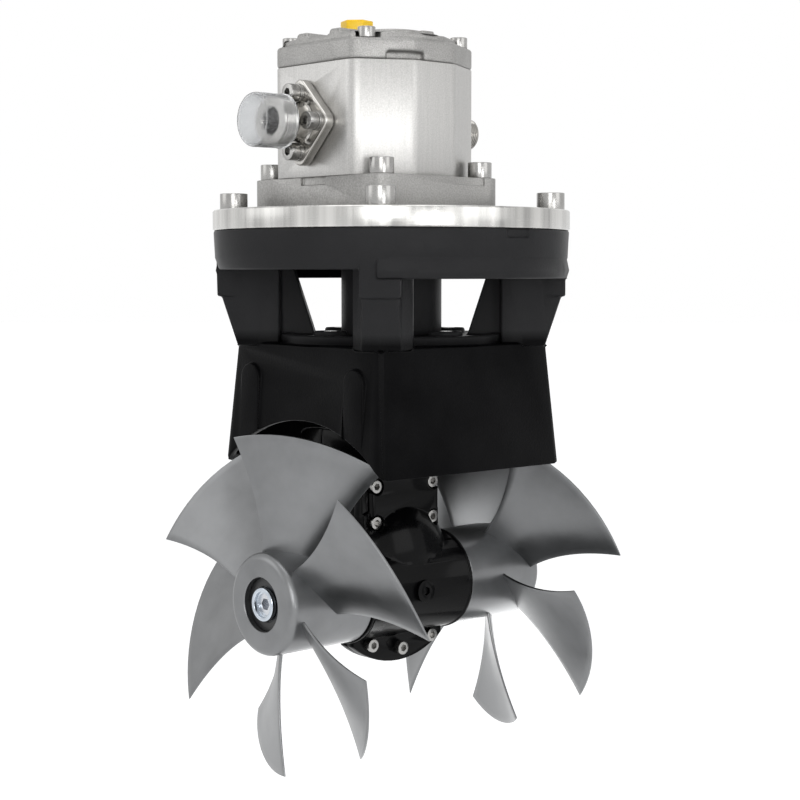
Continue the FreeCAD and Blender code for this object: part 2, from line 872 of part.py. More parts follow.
def add_bracket_legs(body):
    """Four legs at the corners, each a column with a web and an inner rib."""
    half = S.leg_half_width
    web = S.leg_web_half_width
    rib = S.leg_rib_half_width
    outer = S.leg_outer_radius
    side = [
        (outer, half),
        (S.leg_web_radius + 18, half + 1),
        (S.leg_web_radius + 9, half + 3),
        (S.leg_web_radius, web),
        (S.leg_inner_radius, web),
        (S.leg_inner_radius, rib),
        (S.leg_rib_foot, rib),
    ]
    other = [(x, -y) for x, y in reversed(side)]
    foot = S.saddle_top - 2
    plan = sketch_on(body, "leg_plan", "XY_Plane", (0, 0, foot), 45.0)
    draw_outline(plan, side + other)
    column = pad(body, "leg_column", plan, RING_UNDER - foot + 2)
    legs = polar(body, "leg_columns", [column], 4)
    slant = sketch_on(body, "leg_slant", "XZ_Plane")
    beyond = outer + 20
    draw_outline(slant, [
        (outer, S.leg_slant_top),
        (beyond, S.leg_slant_top),
        (beyond, foot),
        (S.leg_foot_radius, foot),
    ])
    groove(body, "leg_outer_slant", slant, "V_Axis")
    inside = sketch_on(body, "rib_slant", "XZ_Plane")
    draw_outline(inside, [
        (S.guard_radius + 1, DISC_TOP),
        (S.leg_rib_foot + 1, DISC_TOP),
        (S.leg_rib_head, RING_UNDER - 14),
        (S.leg_rib_head + 3, RING_UNDER + 4),
        (S.guard_radius + 1, RING_UNDER + 4),
    ])
    groove(body, "rib_inner_slant", inside, "V_Axis")
    return legs


def add_bracket_ring(body):
    """Round top ring with a skirt and two deeper flared sides."""
    top = S.bracket_top
    radius = S.ring_radius
    low = top - S.ring_depth
    ring = sketch_on(body, "ring_section", "XZ_Plane")
    draw_outline(ring, [
        (S.ring_bore, RING_UNDER),
        (radius - S.ring_wall, RING_UNDER),
        (radius - S.ring_wall, low),
        (radius - 4, low),
        (radius - 1, low + 9),
        (radius, top),
        (S.ring_bore, top),
    ])
    revolve(body, "ring", ring, "V_Axis")
    deep = top - S.flare_depth
    for side in (-1, 1):
        tag = "flare_%d" % (side + 1)
        section = sketch_on(body, tag + "_section", "XZ_Plane")
        draw_outline(section, [
            (side * (radius - S.ring_wall), low + 4),
            (side * (radius - S.ring_wall), deep),
            (side * (radius - 1.5), deep),
            (side * (radius + 0.2), deep + 6),
            (side * (radius - 1.2), deep + 13),
            (side * (radius - 3), low + 14),
        ])
        revolve(body, tag, section, "V_Axis", S.flare_angle, True)


def make_motor_bracket():
    """Black casting: top ring, four legs, base disc and tunnel saddle."""
    body = new_body("bracket_body")
    add_saddle(body)
    disc = sketch_on(body, "disc_section", "XZ_Plane")
    rim_top = DISC_TOP + S.disc_rim
    rim_inner = S.disc_radius - S.disc_rim_width
    draw_outline(disc, [
        (0, S.saddle_top - 2),
        (S.disc_radius, S.saddle_top - 2),
        (S.disc_radius, rim_top),
        (rim_inner, rim_top),
        (rim_inner - 3, DISC_TOP),
        (0, DISC_TOP),
    ])
    revolve(body, "disc", disc, "V_Axis")
    add_bracket_legs(body)
    add_bracket_ring(body)
    bosses = sketch_on(body, "stud_boss_plan", "XY_Plane", (0, 0, DISC_TOP - 1))
    for x, y in cross_points(S.stud_circle):
        draw_circle(bosses, x, y, S.boss_radius)
    pad(body, "stud_bosses", bosses, S.boss_height + 1)
    heads = sketch_on(body, "leg_head_plan", "XY_Plane", (0, 0, S.leg_head_height), 45.0)
    wide = S.leg_head_half_width
    reach = S.leg_outer_radius + 0.6
    inner = S.leg_web_radius + 4
    draw_outline(heads, [(reach, wide), (inner, wide), (inner, -wide), (reach, -wide)])
    head = pad(body, "leg_head", heads, S.bracket_top - S.leg_head_height - 10)
    polar(body, "leg_heads", [head], 4)
    bore = S.stem_radius + S.seat_clearance
    drill(body, "stem_hole", "z", [(0, 0)], bore)
    studs = S.stud_radius + S.hole_clearance
    sketch = sketch_on(body, "stud_hole_plan", "XY_Plane", (0, 0, DISC_TOP + 20))
    for x, y in cross_points(S.stud_circle):
        draw_circle(sketch, x, y, studs)
    pocket(body, "stud_holes", sketch, DISC_TOP - S.saddle_bottom)
    counterbore(body, "nut_recesses", cross_points(S.stud_circle), S.stud_nut_radius + 1,
                DISC_TOP + S.boss_height, S.nut_recess)
    taps = diagonal_points(S.plate_bolt_circle)
    depth = S.plate_bolt_length - S.plate_thickness + 2
    counterbore(body, "plate_taps_in_ring", taps, S.plate_bolt_radius, S.bracket_top, depth)
    bore_again = sketch_on(body, "ring_bore_plan", "XY_Plane", (0, 0, S.bracket_top))
    draw_circle(bore_again, 0, 0, S.ring_bore)
    pocket(body, "ring_bore_cut", bore_again, S.ring_plate)
    notch = sketch_on(body, "rim_notch_plan", "XY_Plane", (0, 0, S.bracket_top),
                      S.notch_angle.value + 45.0)
    draw_outline(notch, [
        (S.ring_radius - 3, -11),
        (S.ring_radius + 5, -11),
        (S.ring_radius + 5, 11),
        (S.ring_radius - 3, 11),
    ])
    pocket(body, "rim_notch", notch, 6.5)
    keep("motor_bracket", body)


def make_coupling_guard():
    """Round sleeve round the flexible coupling, between disc and ring."""
    inner = S.guard_radius - S.guard_wall
    body = turned("guard_body", "z", ring_profile(inner, S.guard_radius, DISC_TOP, RING_UNDER))
    keep("coupling_guard", body)


def make_stem():
    """Aluminium stem through the tunnel wall, its ring and its top seal."""
    groove_low = S.saddle_top - S.saddle_roof + 3
    groove_high = groove_low + S.stem_ring_width
    inner_groove = S.stem_radius - S.stem_ring_depth
    seal_low = STEM_TOP - S.stem_seal_height
    profile = [
        (S.stem_inner_radius, UPPER_BEARING_TOP),
        (S.stem_radius, UPPER_BEARING_TOP),
        (S.stem_radius, groove_low),
        (inner_groove, groove_low),
        (inner_groove, groove_high),
        (S.stem_radius, groove_high),
        (S.stem_radius, STEM_TOP),
        (S.stem_seal_radius, STEM_TOP),
        (S.stem_seal_radius, seal_low),
        (S.stem_inner_radius, seal_low),
    ]
    keep("stem_tube", turned("stem_body", "z", profile))
    ring = ring_profile(inner_groove, S.stem_radius, groove_low, groove_high)
    keep("stem_o_ring", turned("stem_ring_body", "z", ring))
    bore = S.drive_shaft_radius + S.running_clearance
    seal = ring_profile(bore, S.stem_seal_radius, seal_low, STEM_TOP)
    keep("stem_shaft_seal", turned("stem_seal_body", "z", seal))


def leg_screw_spots():
    """Where the leg screws pass through the halves, as (y, z, ledge)."""
    spots = []
    for height in (S.leg_screw_low, S.leg_screw_high):
        for side in (-1, 1):
            spots.append((side * S.leg_screw_spread, height, S.neck_ledge))
    for side in (-1, 1):
        spots.append((side * S.keel_screw_spread, S.keel_screw_height, S.keel_half_thickness))
    spots.append((size_of(0), S.keel_screw_middle, S.keel_half_thickness))
    return spots


def add_leg_outside(body):
    """Outer shape of the leg on both sides of the joint plane."""
    length = S.gearcase_half_length
    radius = S.gearcase_radius
    lip = radius + S.gearcase_lip
    band = length - S.gearcase_lip_width
    case = sketch_on(body, "case_section", "YZ_Plane")
    draw_outline(case, [
        (-length, 0), (-length, lip), (-band, lip), (-band, radius),
        (band, radius), (band, lip), (length, lip), (length, 0),
    ])
    revolve(body, "case", case, "H_Axis")
    half = S.neck_half_width
    ledge = sketch_on(body, "neck_plan", "YZ_Plane")
    draw_outline(ledge, [
        (-half, 0), (half, 0), (half, S.leg_flange_bottom + 4), (-half, S.leg_flange_bottom + 4),
    ])
    pad(body, "neck", ledge, 2 * S.neck_ledge, middle=True)
    shoulder = sketch_on(body, "shoulder_plan", "YZ_Plane")
    rise = S.shoulder_top - S.shoulder_side
    draw_outline(shoulder, [
        (-half, 0),
        (half, 0),
        (half, S.shoulder_side),
        (half * 0.72, S.shoulder_side + rise * 0.5),
        (half * 0.4, S.shoulder_side + rise * 0.86),
        (0, S.shoulder_top),
        (half * -0.4, S.shoulder_side + rise * 0.86),
        (half * -0.72, S.shoulder_side + rise * 0.5),
        (-half, S.shoulder_side),
    ])
    pad(body, "shoulder", shoulder, 2 * S.shoulder_ledge, middle=True)
    panel = sketch_on(body, "panel_plan", "YZ_Plane")
    wide = S.neck_panel_half_width
    draw_outline(panel, [
        (-wide, S.dome_height), (wide, S.dome_height),
        (wide, S.leg_flange_bottom + 4), (-wide, S.leg_flange_bottom + 4),
    ])
    pad(body, "panel", panel, 2 * S.neck_panel, middle=True)
    dome = body.newObject("PartDesign::AdditiveEllipsoid", "dome")
    dome.AttachmentSupport = [(origin_part(body, "XY_Plane"), "")]
    dome.MapMode = "FlatFace"
    bind(dome, "Radius1", S.dome_rise)
    bind(dome, "Radius2", S.dome_half_thickness)
    bind(dome, "Radius3", S.dome_half_length)
    bind(dome, "AttachmentOffset.Base.z", S.dome_height)


def add_keel(body):
    """Curved keel plate under the gearcase."""
    steps = 14
    start = math.asin(min(0.999, 0.9 * S.gearcase_half_length.value / S.keel_radius.value))
    points = []
    for step in range(steps + 1):
        angle = -start + 2 * start * step / steps
        across = S.keel_radius * math.sin(angle)
        down = S.keel_centre - S.keel_radius * math.cos(angle)
        points.append((across, down))
    last = points[-1][0]
    outline = points + [(last, -S.gearcase_radius * 0.6), (-last, -S.gearcase_radius * 0.6)]
    keel = sketch_on(body, "keel_plan", "YZ_Plane")
    draw_outline(keel, outline)
    pad(body, "keel", keel, 2 * S.keel_half_thickness, middle=True)


def add_leg_flange(body):
    """Round flange whose top follows the inside of the tunnel."""
    flange = sketch_on(body, "leg_flange_section", "XZ_Plane")
    top = S.tunnel_inner_radius + 4
    draw_outline(flange, [
        (0, S.leg_flange_bottom),
        (S.leg_flange_radius, S.leg_flange_bottom),
        (S.leg_flange_radius, top),
        (0, top),
    ])
    revolve(body, "leg_flange", flange, "V_Axis")
    beyond = sketch_on(body, "tunnel_inside", "YZ_Plane")
    seat = S.tunnel_inner_radius - S.leg_seal_gap
    reach = S.leg_flange_radius + 10
    draw_outline(beyond, [(-reach, seat), (reach, seat), (reach, seat + 30), (-reach, seat + 30)])
    groove(body, "flange_top", beyond, "H_Axis")


def cut_leg_inside(body):
    """Gear chamber, bearing seats, shaft passage, holes and the joint plane."""
    end = S.gearcase_half_length + 1
    seat = S.shaft_bearing_radius
    start = S.shaft_bearing_start
    chamber = S.gearcase_radius - S.gearcase_wall
    across = sketch_on(body, "across_section", "YZ_Plane")
    draw_outline(across, [
        (-end, 0), (-end, seat), (-start, seat), (-start, chamber),
        (start, chamber), (start, seat), (end, seat), (end, 0),
    ])
    groove(body, "shaft_chamber", across, "H_Axis")
    low = S.pinion_bearing_bottom
    bearing = S.pinion_bearing_radius
    passage = S.drive_shaft_radius + S.shaft_passage
    up = sketch_on(body, "upright_section", "XZ_Plane")
    draw_outline(up, [
        (0, 0),
        (bearing + 1.8, 0),
        (bearing + 1.8, low - 1.5),
        (bearing - 3, low - 1.5),
        (bearing - 3, low),
        (bearing, low),
        (bearing, low + S.pinion_bearing_width),
        (passage, low + S.pinion_bearing_width),
        (passage, S.upper_bearing_bottom),
        (bearing, S.upper_bearing_bottom),
        (bearing, UPPER_BEARING_TOP),
        (S.stem_radius, UPPER_BEARING_TOP),
        (S.stem_radius, S.tunnel_inner_radius + 10),
        (0, S.tunnel_inner_radius + 10),
    ])
    groove(body, "upright_chamber", up, "V_Axis")
    holes = [(y, z) for y, z, ledge in leg_screw_spots()]
    drill(body, "leg_screw_holes", "x", holes, S.leg_screw_radius)
    for index, (y, z, ledge) in enumerate(leg_screw_spots()):
        face = sketch_on(body, "screw_seat_plan_%d" % index, "YZ_Plane", (0, 0, ledge))
        draw_circle(face, y, z, S.leg_nut_radius + S.hole_clearance)
        pocket(body, "screw_seat_%d" % index, face, S.leg_screw_head * 4, True)
    plug = sketch_on(body, "plug_hole_plan", "YZ_Plane")
    draw_circle(plug, 0, 0, S.plug_radius)
    pocket(body, "plug_holes", plug)
    spots = cross_points(S.stud_circle)
    drill(body, "stud_holes_in_leg", "z", spots, S.stud_radius + S.hole_clearance)
    recess = S.stud_head_radius + S.hole_clearance
    depth = S.stud_seat - S.leg_flange_bottom
    counterbore(body, "stud_recesses", spots, recess, S.leg_flange_bottom, depth, True)
    away = sketch_on(body, "joint_plan", "YZ_Plane")
    square_outline(away, 3 * S.leg_flange_radius)
    pocket(body, "joint_cut", away, 2 * S.leg_flange_radius)


def make_leg():
    """The two mirror-image halves of the drive leg."""
    body = new_body("leg_half")
    add_leg_outside(body)
    add_keel(body)
    add_leg_flange(body)
    cut_leg_inside(body)
    keep("drive_leg_half_front", body)
    other = DOC.addObject("Part::Mirroring", "leg_half_mirror")
    other.Source = body
    other.Normal = VEC(1, 0, 0)
    other.Base = VEC(0, 0, 0)
    keep("drive_leg_half_back", other)


def make_leg_fasteners():
    """Screws and nuts that close the leg, and its two oil plugs."""
    fronts = [(ledge, y, z) for y, z, ledge in leg_screw_spots()]
    backs = [(-ledge, y, z) for y, z, ledge in leg_screw_spots()]
    pieces = screws("leg_screw", fronts, "+x", S.leg_screw_radius, S.leg_screw_length,
                    S.leg_screw_head_radius, S.leg_screw_head, S.leg_screw_radius * 0.96)
    keep("leg_screws", group("leg_screw_set", pieces))
    pieces = nuts("leg_nut", backs, "-x", S.leg_nut_radius, S.leg_nut_height, S.leg_screw_radius)
    keep("leg_nuts", group("leg_nut_set", pieces))
    plugs = []
    for tag, axis in (("front", "+x"), ("back", "-x")):
        seat = shift((0, 0, 0), axis, S.gearcase_radius)
        head = cylinder("plug_head_" + tag, shift(seat, axis, -1.2), axis,
                        S.plug_head_radius, S.plug_head + 1.2)
        stem = cylinder("plug_stem_" + tag, seat, flipped(axis), S.plug_radius, S.gearcase_wall)
        key = hexagon("plug_key_" + tag, shift(seat, axis, -1), axis, 3.5, S.plug_head + 2)
        whole = fuse("plug_whole_" + tag, [head, stem])
        body = cut("plug_keyed_" + tag, whole, key)
        barrel = cylinder("plug_barrel_" + tag, (0, -S.gearcase_half_length, 0), "+y",
                          S.gearcase_radius, 2 * S.gearcase_half_length)
        outside = cut("plug_outside_" + tag, body, barrel)
        thread = cut("plug_thread_" + tag,
                     cylinder("plug_bore_" + tag, seat, flipped(axis), S.plug_radius,
                              S.gearcase_wall),
                     hexagon("plug_deep_key_" + tag, shift(seat, axis, -1), axis, 3.5, 3))
        plugs.append(fuse("plug_" + tag, [outside, thread]))
    keep("oil_plugs", group("oil_plug_set", plugs))


def make_clamp_bolts():
    """Four long bolts that clamp leg and bracket on the tunnel wall."""
    top = DISC_TOP + S.boss_height - S.nut_recess
    seats = [(x, y, S.stud_seat) for x, y in cross_points(S.stud_circle)]
    length = top - S.stud_seat + S.stud_nut_height + 1
    pieces = screws("clamp_bolt", seats, "-z", S.stud_radius, length,
                    S.stud_head_radius, S.stud_head, S.stud_radius * 0.9)
    keep("clamp_bolts", group("clamp_bolt_set", pieces))
    seats = [(x, y, top) for x, y in cross_points(S.stud_circle)]
    pieces = nuts("clamp_nut", seats, "+z", S.stud_nut_radius, S.stud_nut_height, S.stud_radius)
    keep("clamp_nuts", group("clamp_nut_set", pieces))


def bearing(name, axis, bore, outer, low, width):
    """A sealed ball bearing: two rings with a shallow shield between them."""
    inner_ring = bore + S.bearing_ring
    outer_ring = outer - S.bearing_ring
    sunk = S.bearing_groove
    profile = [
        (bore, low),
        (inner_ring, low),
        (inner_ring, low + sunk),
        (outer_ring, low + sunk),
        (outer_ring, low),
        (outer, low),
        (outer, low + width),
        (outer_ring, low + width),
        (outer_ring, low + width - sunk),
        (inner_ring, low + width - sunk),
        (inner_ring, low + width),
        (bore, low + width),
    ]
    return turned(name, axis, profile)


def make_leg_bearings():
    """Bearings and seals of both shafts in the leg."""
    bore = S.shaft_radius + S.running_clearance
    width = S.shaft_bearing_width
    start = S.shaft_bearing_start
    near = bearing("shaft_bearing_a", "y", bore, S.shaft_bearing_radius, -start - width, width)
    far = bearing("shaft_bearing_b", "y", bore, S.shaft_bearing_radius, start, width)
    keep("propeller_shaft_bearings", group("shaft_bearing_set", [near, far]))
    outer = S.shaft_bearing_radius
    end = SEAL_START + S.shaft_seal_width
    lip = bore + 3
    profiles = []
    for side in (-1, 1):
        profiles.append([
            (bore, side * SEAL_START),
            (outer, side * SEAL_START),
            (outer, side * end),
            (lip, side * end),
            (lip - 1, side * (end - 2)),
            (bore, side * (end - 1)),
        ])
    seals = [turned("shaft_seal_%d" % i, "y", item) for i, item in enumerate(profiles)]
    keep("propeller_shaft_seals", group("shaft_seal_set", seals))
    bore = S.drive_shaft_radius + S.running_clearance
    radius = S.pinion_bearing_radius
    width = S.pinion_bearing_width
    lower = bearing("pinion_bearing_a", "z", bore, radius, S.pinion_bearing_bottom, width)
    upper = bearing("pinion_bearing_b", "z", bore, radius, S.upper_bearing_bottom, width)
    keep("drive_shaft_bearings", group("pinion_bearing_set", [lower, upper]))


def make_crown_gear():
    """Large bevel gear on the propeller shaft, teeth towards the origin."""
    teeth = S.crown_teeth.value
    gap = math.pi / teeth
    solid, low, high = bevel_blank(teeth, S.pinion_teeth.value, math.pi / 2 + gap)
    hub_end = S.shaft_bearing_start.value - 0.5
    hub = Part.makeCylinder(S.crown_hub_radius.value, hub_end - low, VEC(0, 0, low))
    bore = Part.makeCylinder(S.shaft_radius.value, hub_end + 10, VEC(0, 0, -5))
    whole = solid.fuse(hub).cut(bore).removeSplitter()
    whole.rotate(VEC(0, 0, 0), VEC(1, 0, 0), -90)
    keep("crown_gear", shaped("crown_gear_shape", whole))


def make_pinion_shaft():
    """Vertical drive shaft with its bevel pinion."""
    teeth = S.pinion_teeth.value
    solid, low, high = bevel_blank(teeth, S.crown_teeth.value, math.pi / 2)
    back = S.bevel_module.value * S.crown_teeth.value / 2
    collar = Part.makeCylinder(S.drive_shaft_radius.value + 5,
                               S.pinion_back.value - back, VEC(0, 0, back))
    top = S.coupling_bottom.value + S.coupling_hub.value
    shaft = Part.makeCylinder(S.drive_shaft_radius.value, top - low, VEC(0, 0, low))
    whole = solid.fuse([collar, shaft]).removeSplitter()
    keep("pinion_shaft", shaped("pinion_shaft_shape", whole))


def make_propeller_shaft():
    """Through shaft with a step and a thread at each end."""
    step = HUB_INNER + S.shaft_step_setback
    radius = S.shaft_radius
    small = S.shaft_end_radius
    thread = S.shaft_thread_radius
    upper = [(thread, SHAFT_END), (thread, NUT_SEAT), (small, NUT_SEAT), (small, step), (radius, step)]
    lower = [(r, -along) for r, along in reversed(upper)]
    profile = [(0, SHAFT_END)] + upper + lower + [(0, -SHAFT_END)]
    body = turned("propeller_shaft_body", "y", profile)
    for index, side in enumerate((-1, 1)):
        plan = sketch_on(body, "shaft_socket_plan_%d" % index, "XZ_Plane",
                         (0, 0, -side * SHAFT_END))
        corner = S.shaft_socket_radius
        points = [(corner * math.cos(math.radians(60 * k)), corner * math.sin(math.radians(60 * k)))
                  for k in range(6)]
        draw_outline(plan, points)
        pocket(body, "shaft_socket_%d" % index, plan, 6.0, side > 0)
    spots = HUB_INNER + S.drive_pin_setback
    pins = sketch_on(body, "drive_pin_plan", "YZ_Plane")
    draw_circle(pins, spots, 0, S.drive_pin_radius)
    draw_circle(pins, -spots, 0, S.drive_pin_radius)
    pocket(body, "drive_pin_holes", pins)
    keep("propeller_shaft", body)


def blade_wire(height):
    """Section of one blade at a height above the propeller axis."""
    tip_height = TIP_RADIUS.value * math.cos(math.radians(S.blade_tip_angle.value))
    tip_chord = TIP_RADIUS.value * math.sin(math.radians(S.blade_tip_angle.value))
    root_height = S.prop_hub_radius.value * 0.9
    part = (height - root_height) / (tip_height - root_height)
    hollow = 4 * S.blade_edge_hollow.value * part * (1 - part)
    root_chord = S.blade_root_half_chord.value
    chord = root_chord + (tip_chord - root_chord) * part - hollow
    root_width = S.blade_root_half_width.value
    width = root_width + (S.blade_tip_half_width.value - root_width) * part - hollow * 0.25
    root_thick = S.blade_root_thickness.value
    thick = root_thick + (S.blade_tip_thickness.value - root_thick) * part
    middle = HUB_INNER.value + S.blade_mid_setback.value
    length = math.hypot(chord, width)
    across = VEC(chord / length, width / length, 0)
    normal = VEC(-width / length, chord / length, 0)
    camber = S.blade_camber.value * (0.4 + part)
    sides = ([], [])
    for index in range(9):
        spot = -1 + index / 4
        body = 0.36 + 0.64 * (1 - spot * spot)
        line = VEC(0, middle, 0) + across * (length * spot)
        line = line + normal * (camber * (1 - spot * spot))
        for side, direction in zip(sides, (1, -1)):
            point = line + normal * (direction * thick * body / 2)
            side.append(VEC(point.x, point.y, height))
    edges = []
    curves = []
    for side in sides:
        curve = Part.BSplineCurve()
        curve.interpolate(side)
        curves.append(curve.toShape())
    edges.append(curves[0])
    edges.append(Part.makeLine(sides[0][-1], sides[1][-1]))
    edges.append(curves[1])
    edges.append(Part.makeLine(sides[1][0], sides[0][0]))
    return Part.Wire(Part.__sortEdges__(edges))


def blade_shape():
    """One blade pointing up, trimmed to the tip circle and the hub."""
    low = S.prop_hub_radius.value * 0.72
    high = TIP_RADIUS.value + 6
    count = 5
    heights = [low + (high - low) * index / (count - 1) for index in range(count)]
    loft = Part.makeLoft([blade_wire(height) for height in heights], True, False)
    start = HUB_INNER.value - 5
    length = S.prop_hub_length.value + 30
    tip = Part.makeCylinder(TIP_RADIUS.value, length, VEC(0, start, 0), VEC(0, 1, 0))
    root = Part.makeCylinder(S.prop_hub_radius.value - S.prop_hub_wall.value / 2, length,
                             VEC(0, start, 0), VEC(0, 1, 0))
    return loft.common(tip).cut(root)


def make_propeller(name, side, turn):
    """Six-bladed propeller; side is -1 for the near one and 1 for the far one."""
    radius = S.prop_hub_radius
    nose = S.prop_hub_nose
    core = HUB_INNER + S.prop_core_setback
    web = HUB_OUTER - S.prop_recess_depth - S.prop_hub_web
    inside = radius - S.prop_hub_wall
    bore = S.shaft_end_radius
    profile = [
        (radius, HUB_INNER),
        (radius, HUB_OUTER - nose),
        (radius - nose * 0.29, HUB_OUTER - nose * 0.29),
        (radius - nose, HUB_OUTER),
        (S.prop_recess_radius, HUB_OUTER),
        (S.prop_recess_radius, NUT_SEAT),
        (bore, NUT_SEAT),
        (bore, core),
        (S.prop_core_radius, core),
        (S.prop_core_radius, web),
        (inside, web),
        (inside, HUB_INNER),
    ]
    body = turned(name + "_hub", "y", profile)
    spot = HUB_INNER + S.drive_pin_setback
    pin = sketch_on(body, name + "_pin_plan", "YZ_Plane")
    draw_circle(pin, spot, 0, S.drive_pin_radius)
    pocket(body, name + "_pin_hole", pin, S.prop_core_radius + 1)
    pin_back = sketch_on(body, name + "_pin_plan_back", "YZ_Plane")
    draw_circle(pin_back, spot, 0, S.drive_pin_radius)
    pocket(body, name + "_pin_hole_back", pin_back, S.prop_core_radius + 1, True)
    DOC.recompute()
    whole = body.Shape.copy()
    blade = blade_shape()
    count = int(S.blade_count.value)
    blades = []
    for index in range(count):
        copy = blade.copy()
        copy.rotate(VEC(0, 0, 0), VEC(0, 1, 0), 360.0 * index / count + turn)
        blades.append(copy)
    whole = whole.fuse(blades)
    if side < 0:
        whole.rotate(VEC(0, 0, 0), VEC(0, 0, 1), 180)
    keep(name, shaped(name + "_shape", whole))


def make_propeller_details():
    """Nuts, inserts and drive pins of the propellers."""
    rings = []
    inserts = []
    pins = []
    spot = HUB_INNER + S.drive_pin_setback
    half = S.prop_core_radius
    for index, side in enumerate((-1, 1)):
        top = NUT_SEAT + S.shaft_nut_height
        floor = top - S.shaft_nut_bore_depth
        profile = [
            (S.shaft_thread_radius, side * NUT_SEAT),
            (S.shaft_nut_radius, side * NUT_SEAT),
            (S.shaft_nut_radius, side * (top - 1)),
            (S.shaft_nut_radius - 1, side * top),
            (S.shaft_nut_bore, side * top),
            (S.shaft_nut_bore, side * floor),
            (S.shaft_thread_radius, side * floor),
        ]
        rings.append(turned("shaft_nut_%d" % index, "y", profile))
        inner = S.shaft_nut_radius + S.insert_gap
        outer = S.prop_recess_radius
        high = NUT_SEAT + S.insert_thickness
        profile = ring_profile(inner, outer, side * NUT_SEAT, side * high)
        inserts.append(turned("hub_insert_%d" % index, "y", profile))
        pins.append(cylinder("drive_pin_%d" % index, (-half, side * spot, 0), "+x",
                             S.drive_pin_radius, 2 * half))
    keep("propeller_nuts", group("propeller_nut_set", rings))
    keep("propeller_hub_inserts", group("hub_insert_set", inserts))
    keep("propeller_drive_pins", group("drive_pin_set", pins))


def jaw_solid(low, high, first, reach):
    """Three coupling jaws between two heights."""
    inner = S.spider_inner_radius.value + 2
    outer = S.coupling_radius.value
    corners = [VEC(inner, 0, low), VEC(outer, 0, low), VEC(outer, 0, high), VEC(inner, 0, high)]
    face = Part.Face(Part.makePolygon(corners + corners[:1]))
    jaws = []
    for index in range(3):
        jaw = face.copy()
        jaw.rotate(VEC(0, 0, 0), VEC(0, 0, 1), first + 120 * index - reach / 2)
        jaws.append(jaw.revolve(VEC(0, 0, 0), VEC(0, 0, 1), reach))
    return jaws


def make_coupling():
    """Flexible jaw coupling: two hubs and the elastic spider between them."""
    radius = S.coupling_radius.value
    low = S.coupling_bottom.value
    hub = S.coupling_hub.value
    jaw = S.coupling_jaw.value
    gap = S.coupling_gap.value
    angle = S.coupling_jaw_angle.value
    middle = low + hub
    upper = middle + jaw + 2 * gap
    lower_hub = Part.makeCylinder(radius, hub, VEC(0, 0, low))
    lower_hub = lower_hub.cut(Part.makeCylinder(S.drive_shaft_radius.value, hub, VEC(0, 0, low)))
    lower = lower_hub.fuse(jaw_solid(middle, middle + jaw + gap, 0, angle)).removeSplitter()
    keep("coupling_lower_hub", shaped("coupling_lower_shape", lower))
    upper_hub = Part.makeCylinder(radius, hub, VEC(0, 0, upper))
    upper_hub = upper_hub.cut(Part.makeCylinder(S.motor_shaft_radius.value, hub, VEC(0, 0, upper)))
    jaws = jaw_solid(middle + gap, upper, 60, angle)
    keep("coupling_upper_hub", shaped("coupling_upper_shape", upper_hub.fuse(jaws).removeSplitter()))
    inner = S.spider_inner_radius.value
    spider = Part.makeCylinder(radius - 0.5, jaw, VEC(0, 0, middle + gap))
    spider = spider.cut(Part.makeCylinder(inner, jaw, VEC(0, 0, middle + gap)))
    spider = spider.cut(jaw_solid(middle, upper, 0, angle))
    spider = spider.cut(jaw_solid(middle, upper, 60, angle))
    keep("coupling_spider", shaped("coupling_spider_shape", spider))


def gear_ends():
    """Lower and upper ends of the motor gears' faces."""
    low = FLANGE_TOP.value + S.block_height.value + S.gear_end_clearance.value
    high = BODY_TOP.value - S.block_height.value - S.gear_end_clearance.value
    return low, high


def make_motor_gears():
    """Drive gear with its shaft, and the idler gear beside it."""
    teeth = S.spur_teeth.value
    module = S.spur_module.value
    radii = gear_radii(teeth * module / 2, module)
    halves = tooth_angles(teeth, module, S.spur_backlash.value, radii)
    low, high = gear_ends()
    journal = S.journal_radius.value
    bottom = FLANGE_TOP.value + 0.5
    top = BODY_TOP.value - 1.0
    drive = prism_of(toothed_outline(teeth, radii, halves, math.pi), low, high)
    pin = Part.makeCylinder(journal, top - bottom, VEC(0, 0, bottom))
    start = S.coupling_bottom.value + S.coupling_hub.value
    start = start + S.coupling_jaw.value + 2 * S.coupling_gap.value
    tail = Part.makeCylinder(S.motor_shaft_radius.value, bottom - start, VEC(0, 0, start))
    whole = drive.fuse([pin, tail]).removeSplitter()
    keep("motor_drive_gear", shaped("motor_drive_gear_shape", whole))
    first = math.pi / teeth
    idler = prism_of(toothed_outline(teeth, radii, halves, first), low, high)
    idler = idler.fuse(Part.makeCylinder(journal, top - bottom, VEC(0, 0, bottom)))
    idler.translate(VEC(-GEAR_CENTRES.value, 0, 0))
    keep("motor_idler_gear", shaped("motor_idler_gear_shape", idler))


def make_bearing_blocks():
    """Two eight-shaped blocks that carry the gear journals."""
    radius = GEAR_TIP
    bore = S.journal_radius + S.running_clearance
    for name, low in (("bearing_block_lower", FLANGE_TOP),
                      ("bearing_block_upper", BODY_TOP - S.block_height)):
        first = cylinder(name + "_drive", (0, 0, low), "+z", radius, S.block_height)
        second = cylinder(name + "_idler", (-GEAR_CENTRES, 0, low), "+z", radius, S.block_height)
        holes = []
        for tag, x in (("a", size_of(0)), ("b", -GEAR_CENTRES)):
            holes.append(cylinder(name + "_bore_" + tag, (x, 0, low), "+z", bore, S.block_height))
        whole = fuse(name + "_whole", [first, second])
        bores = fuse(name + "_bores", holes)
        keep(name, cut(name + "_cut", whole, bores))


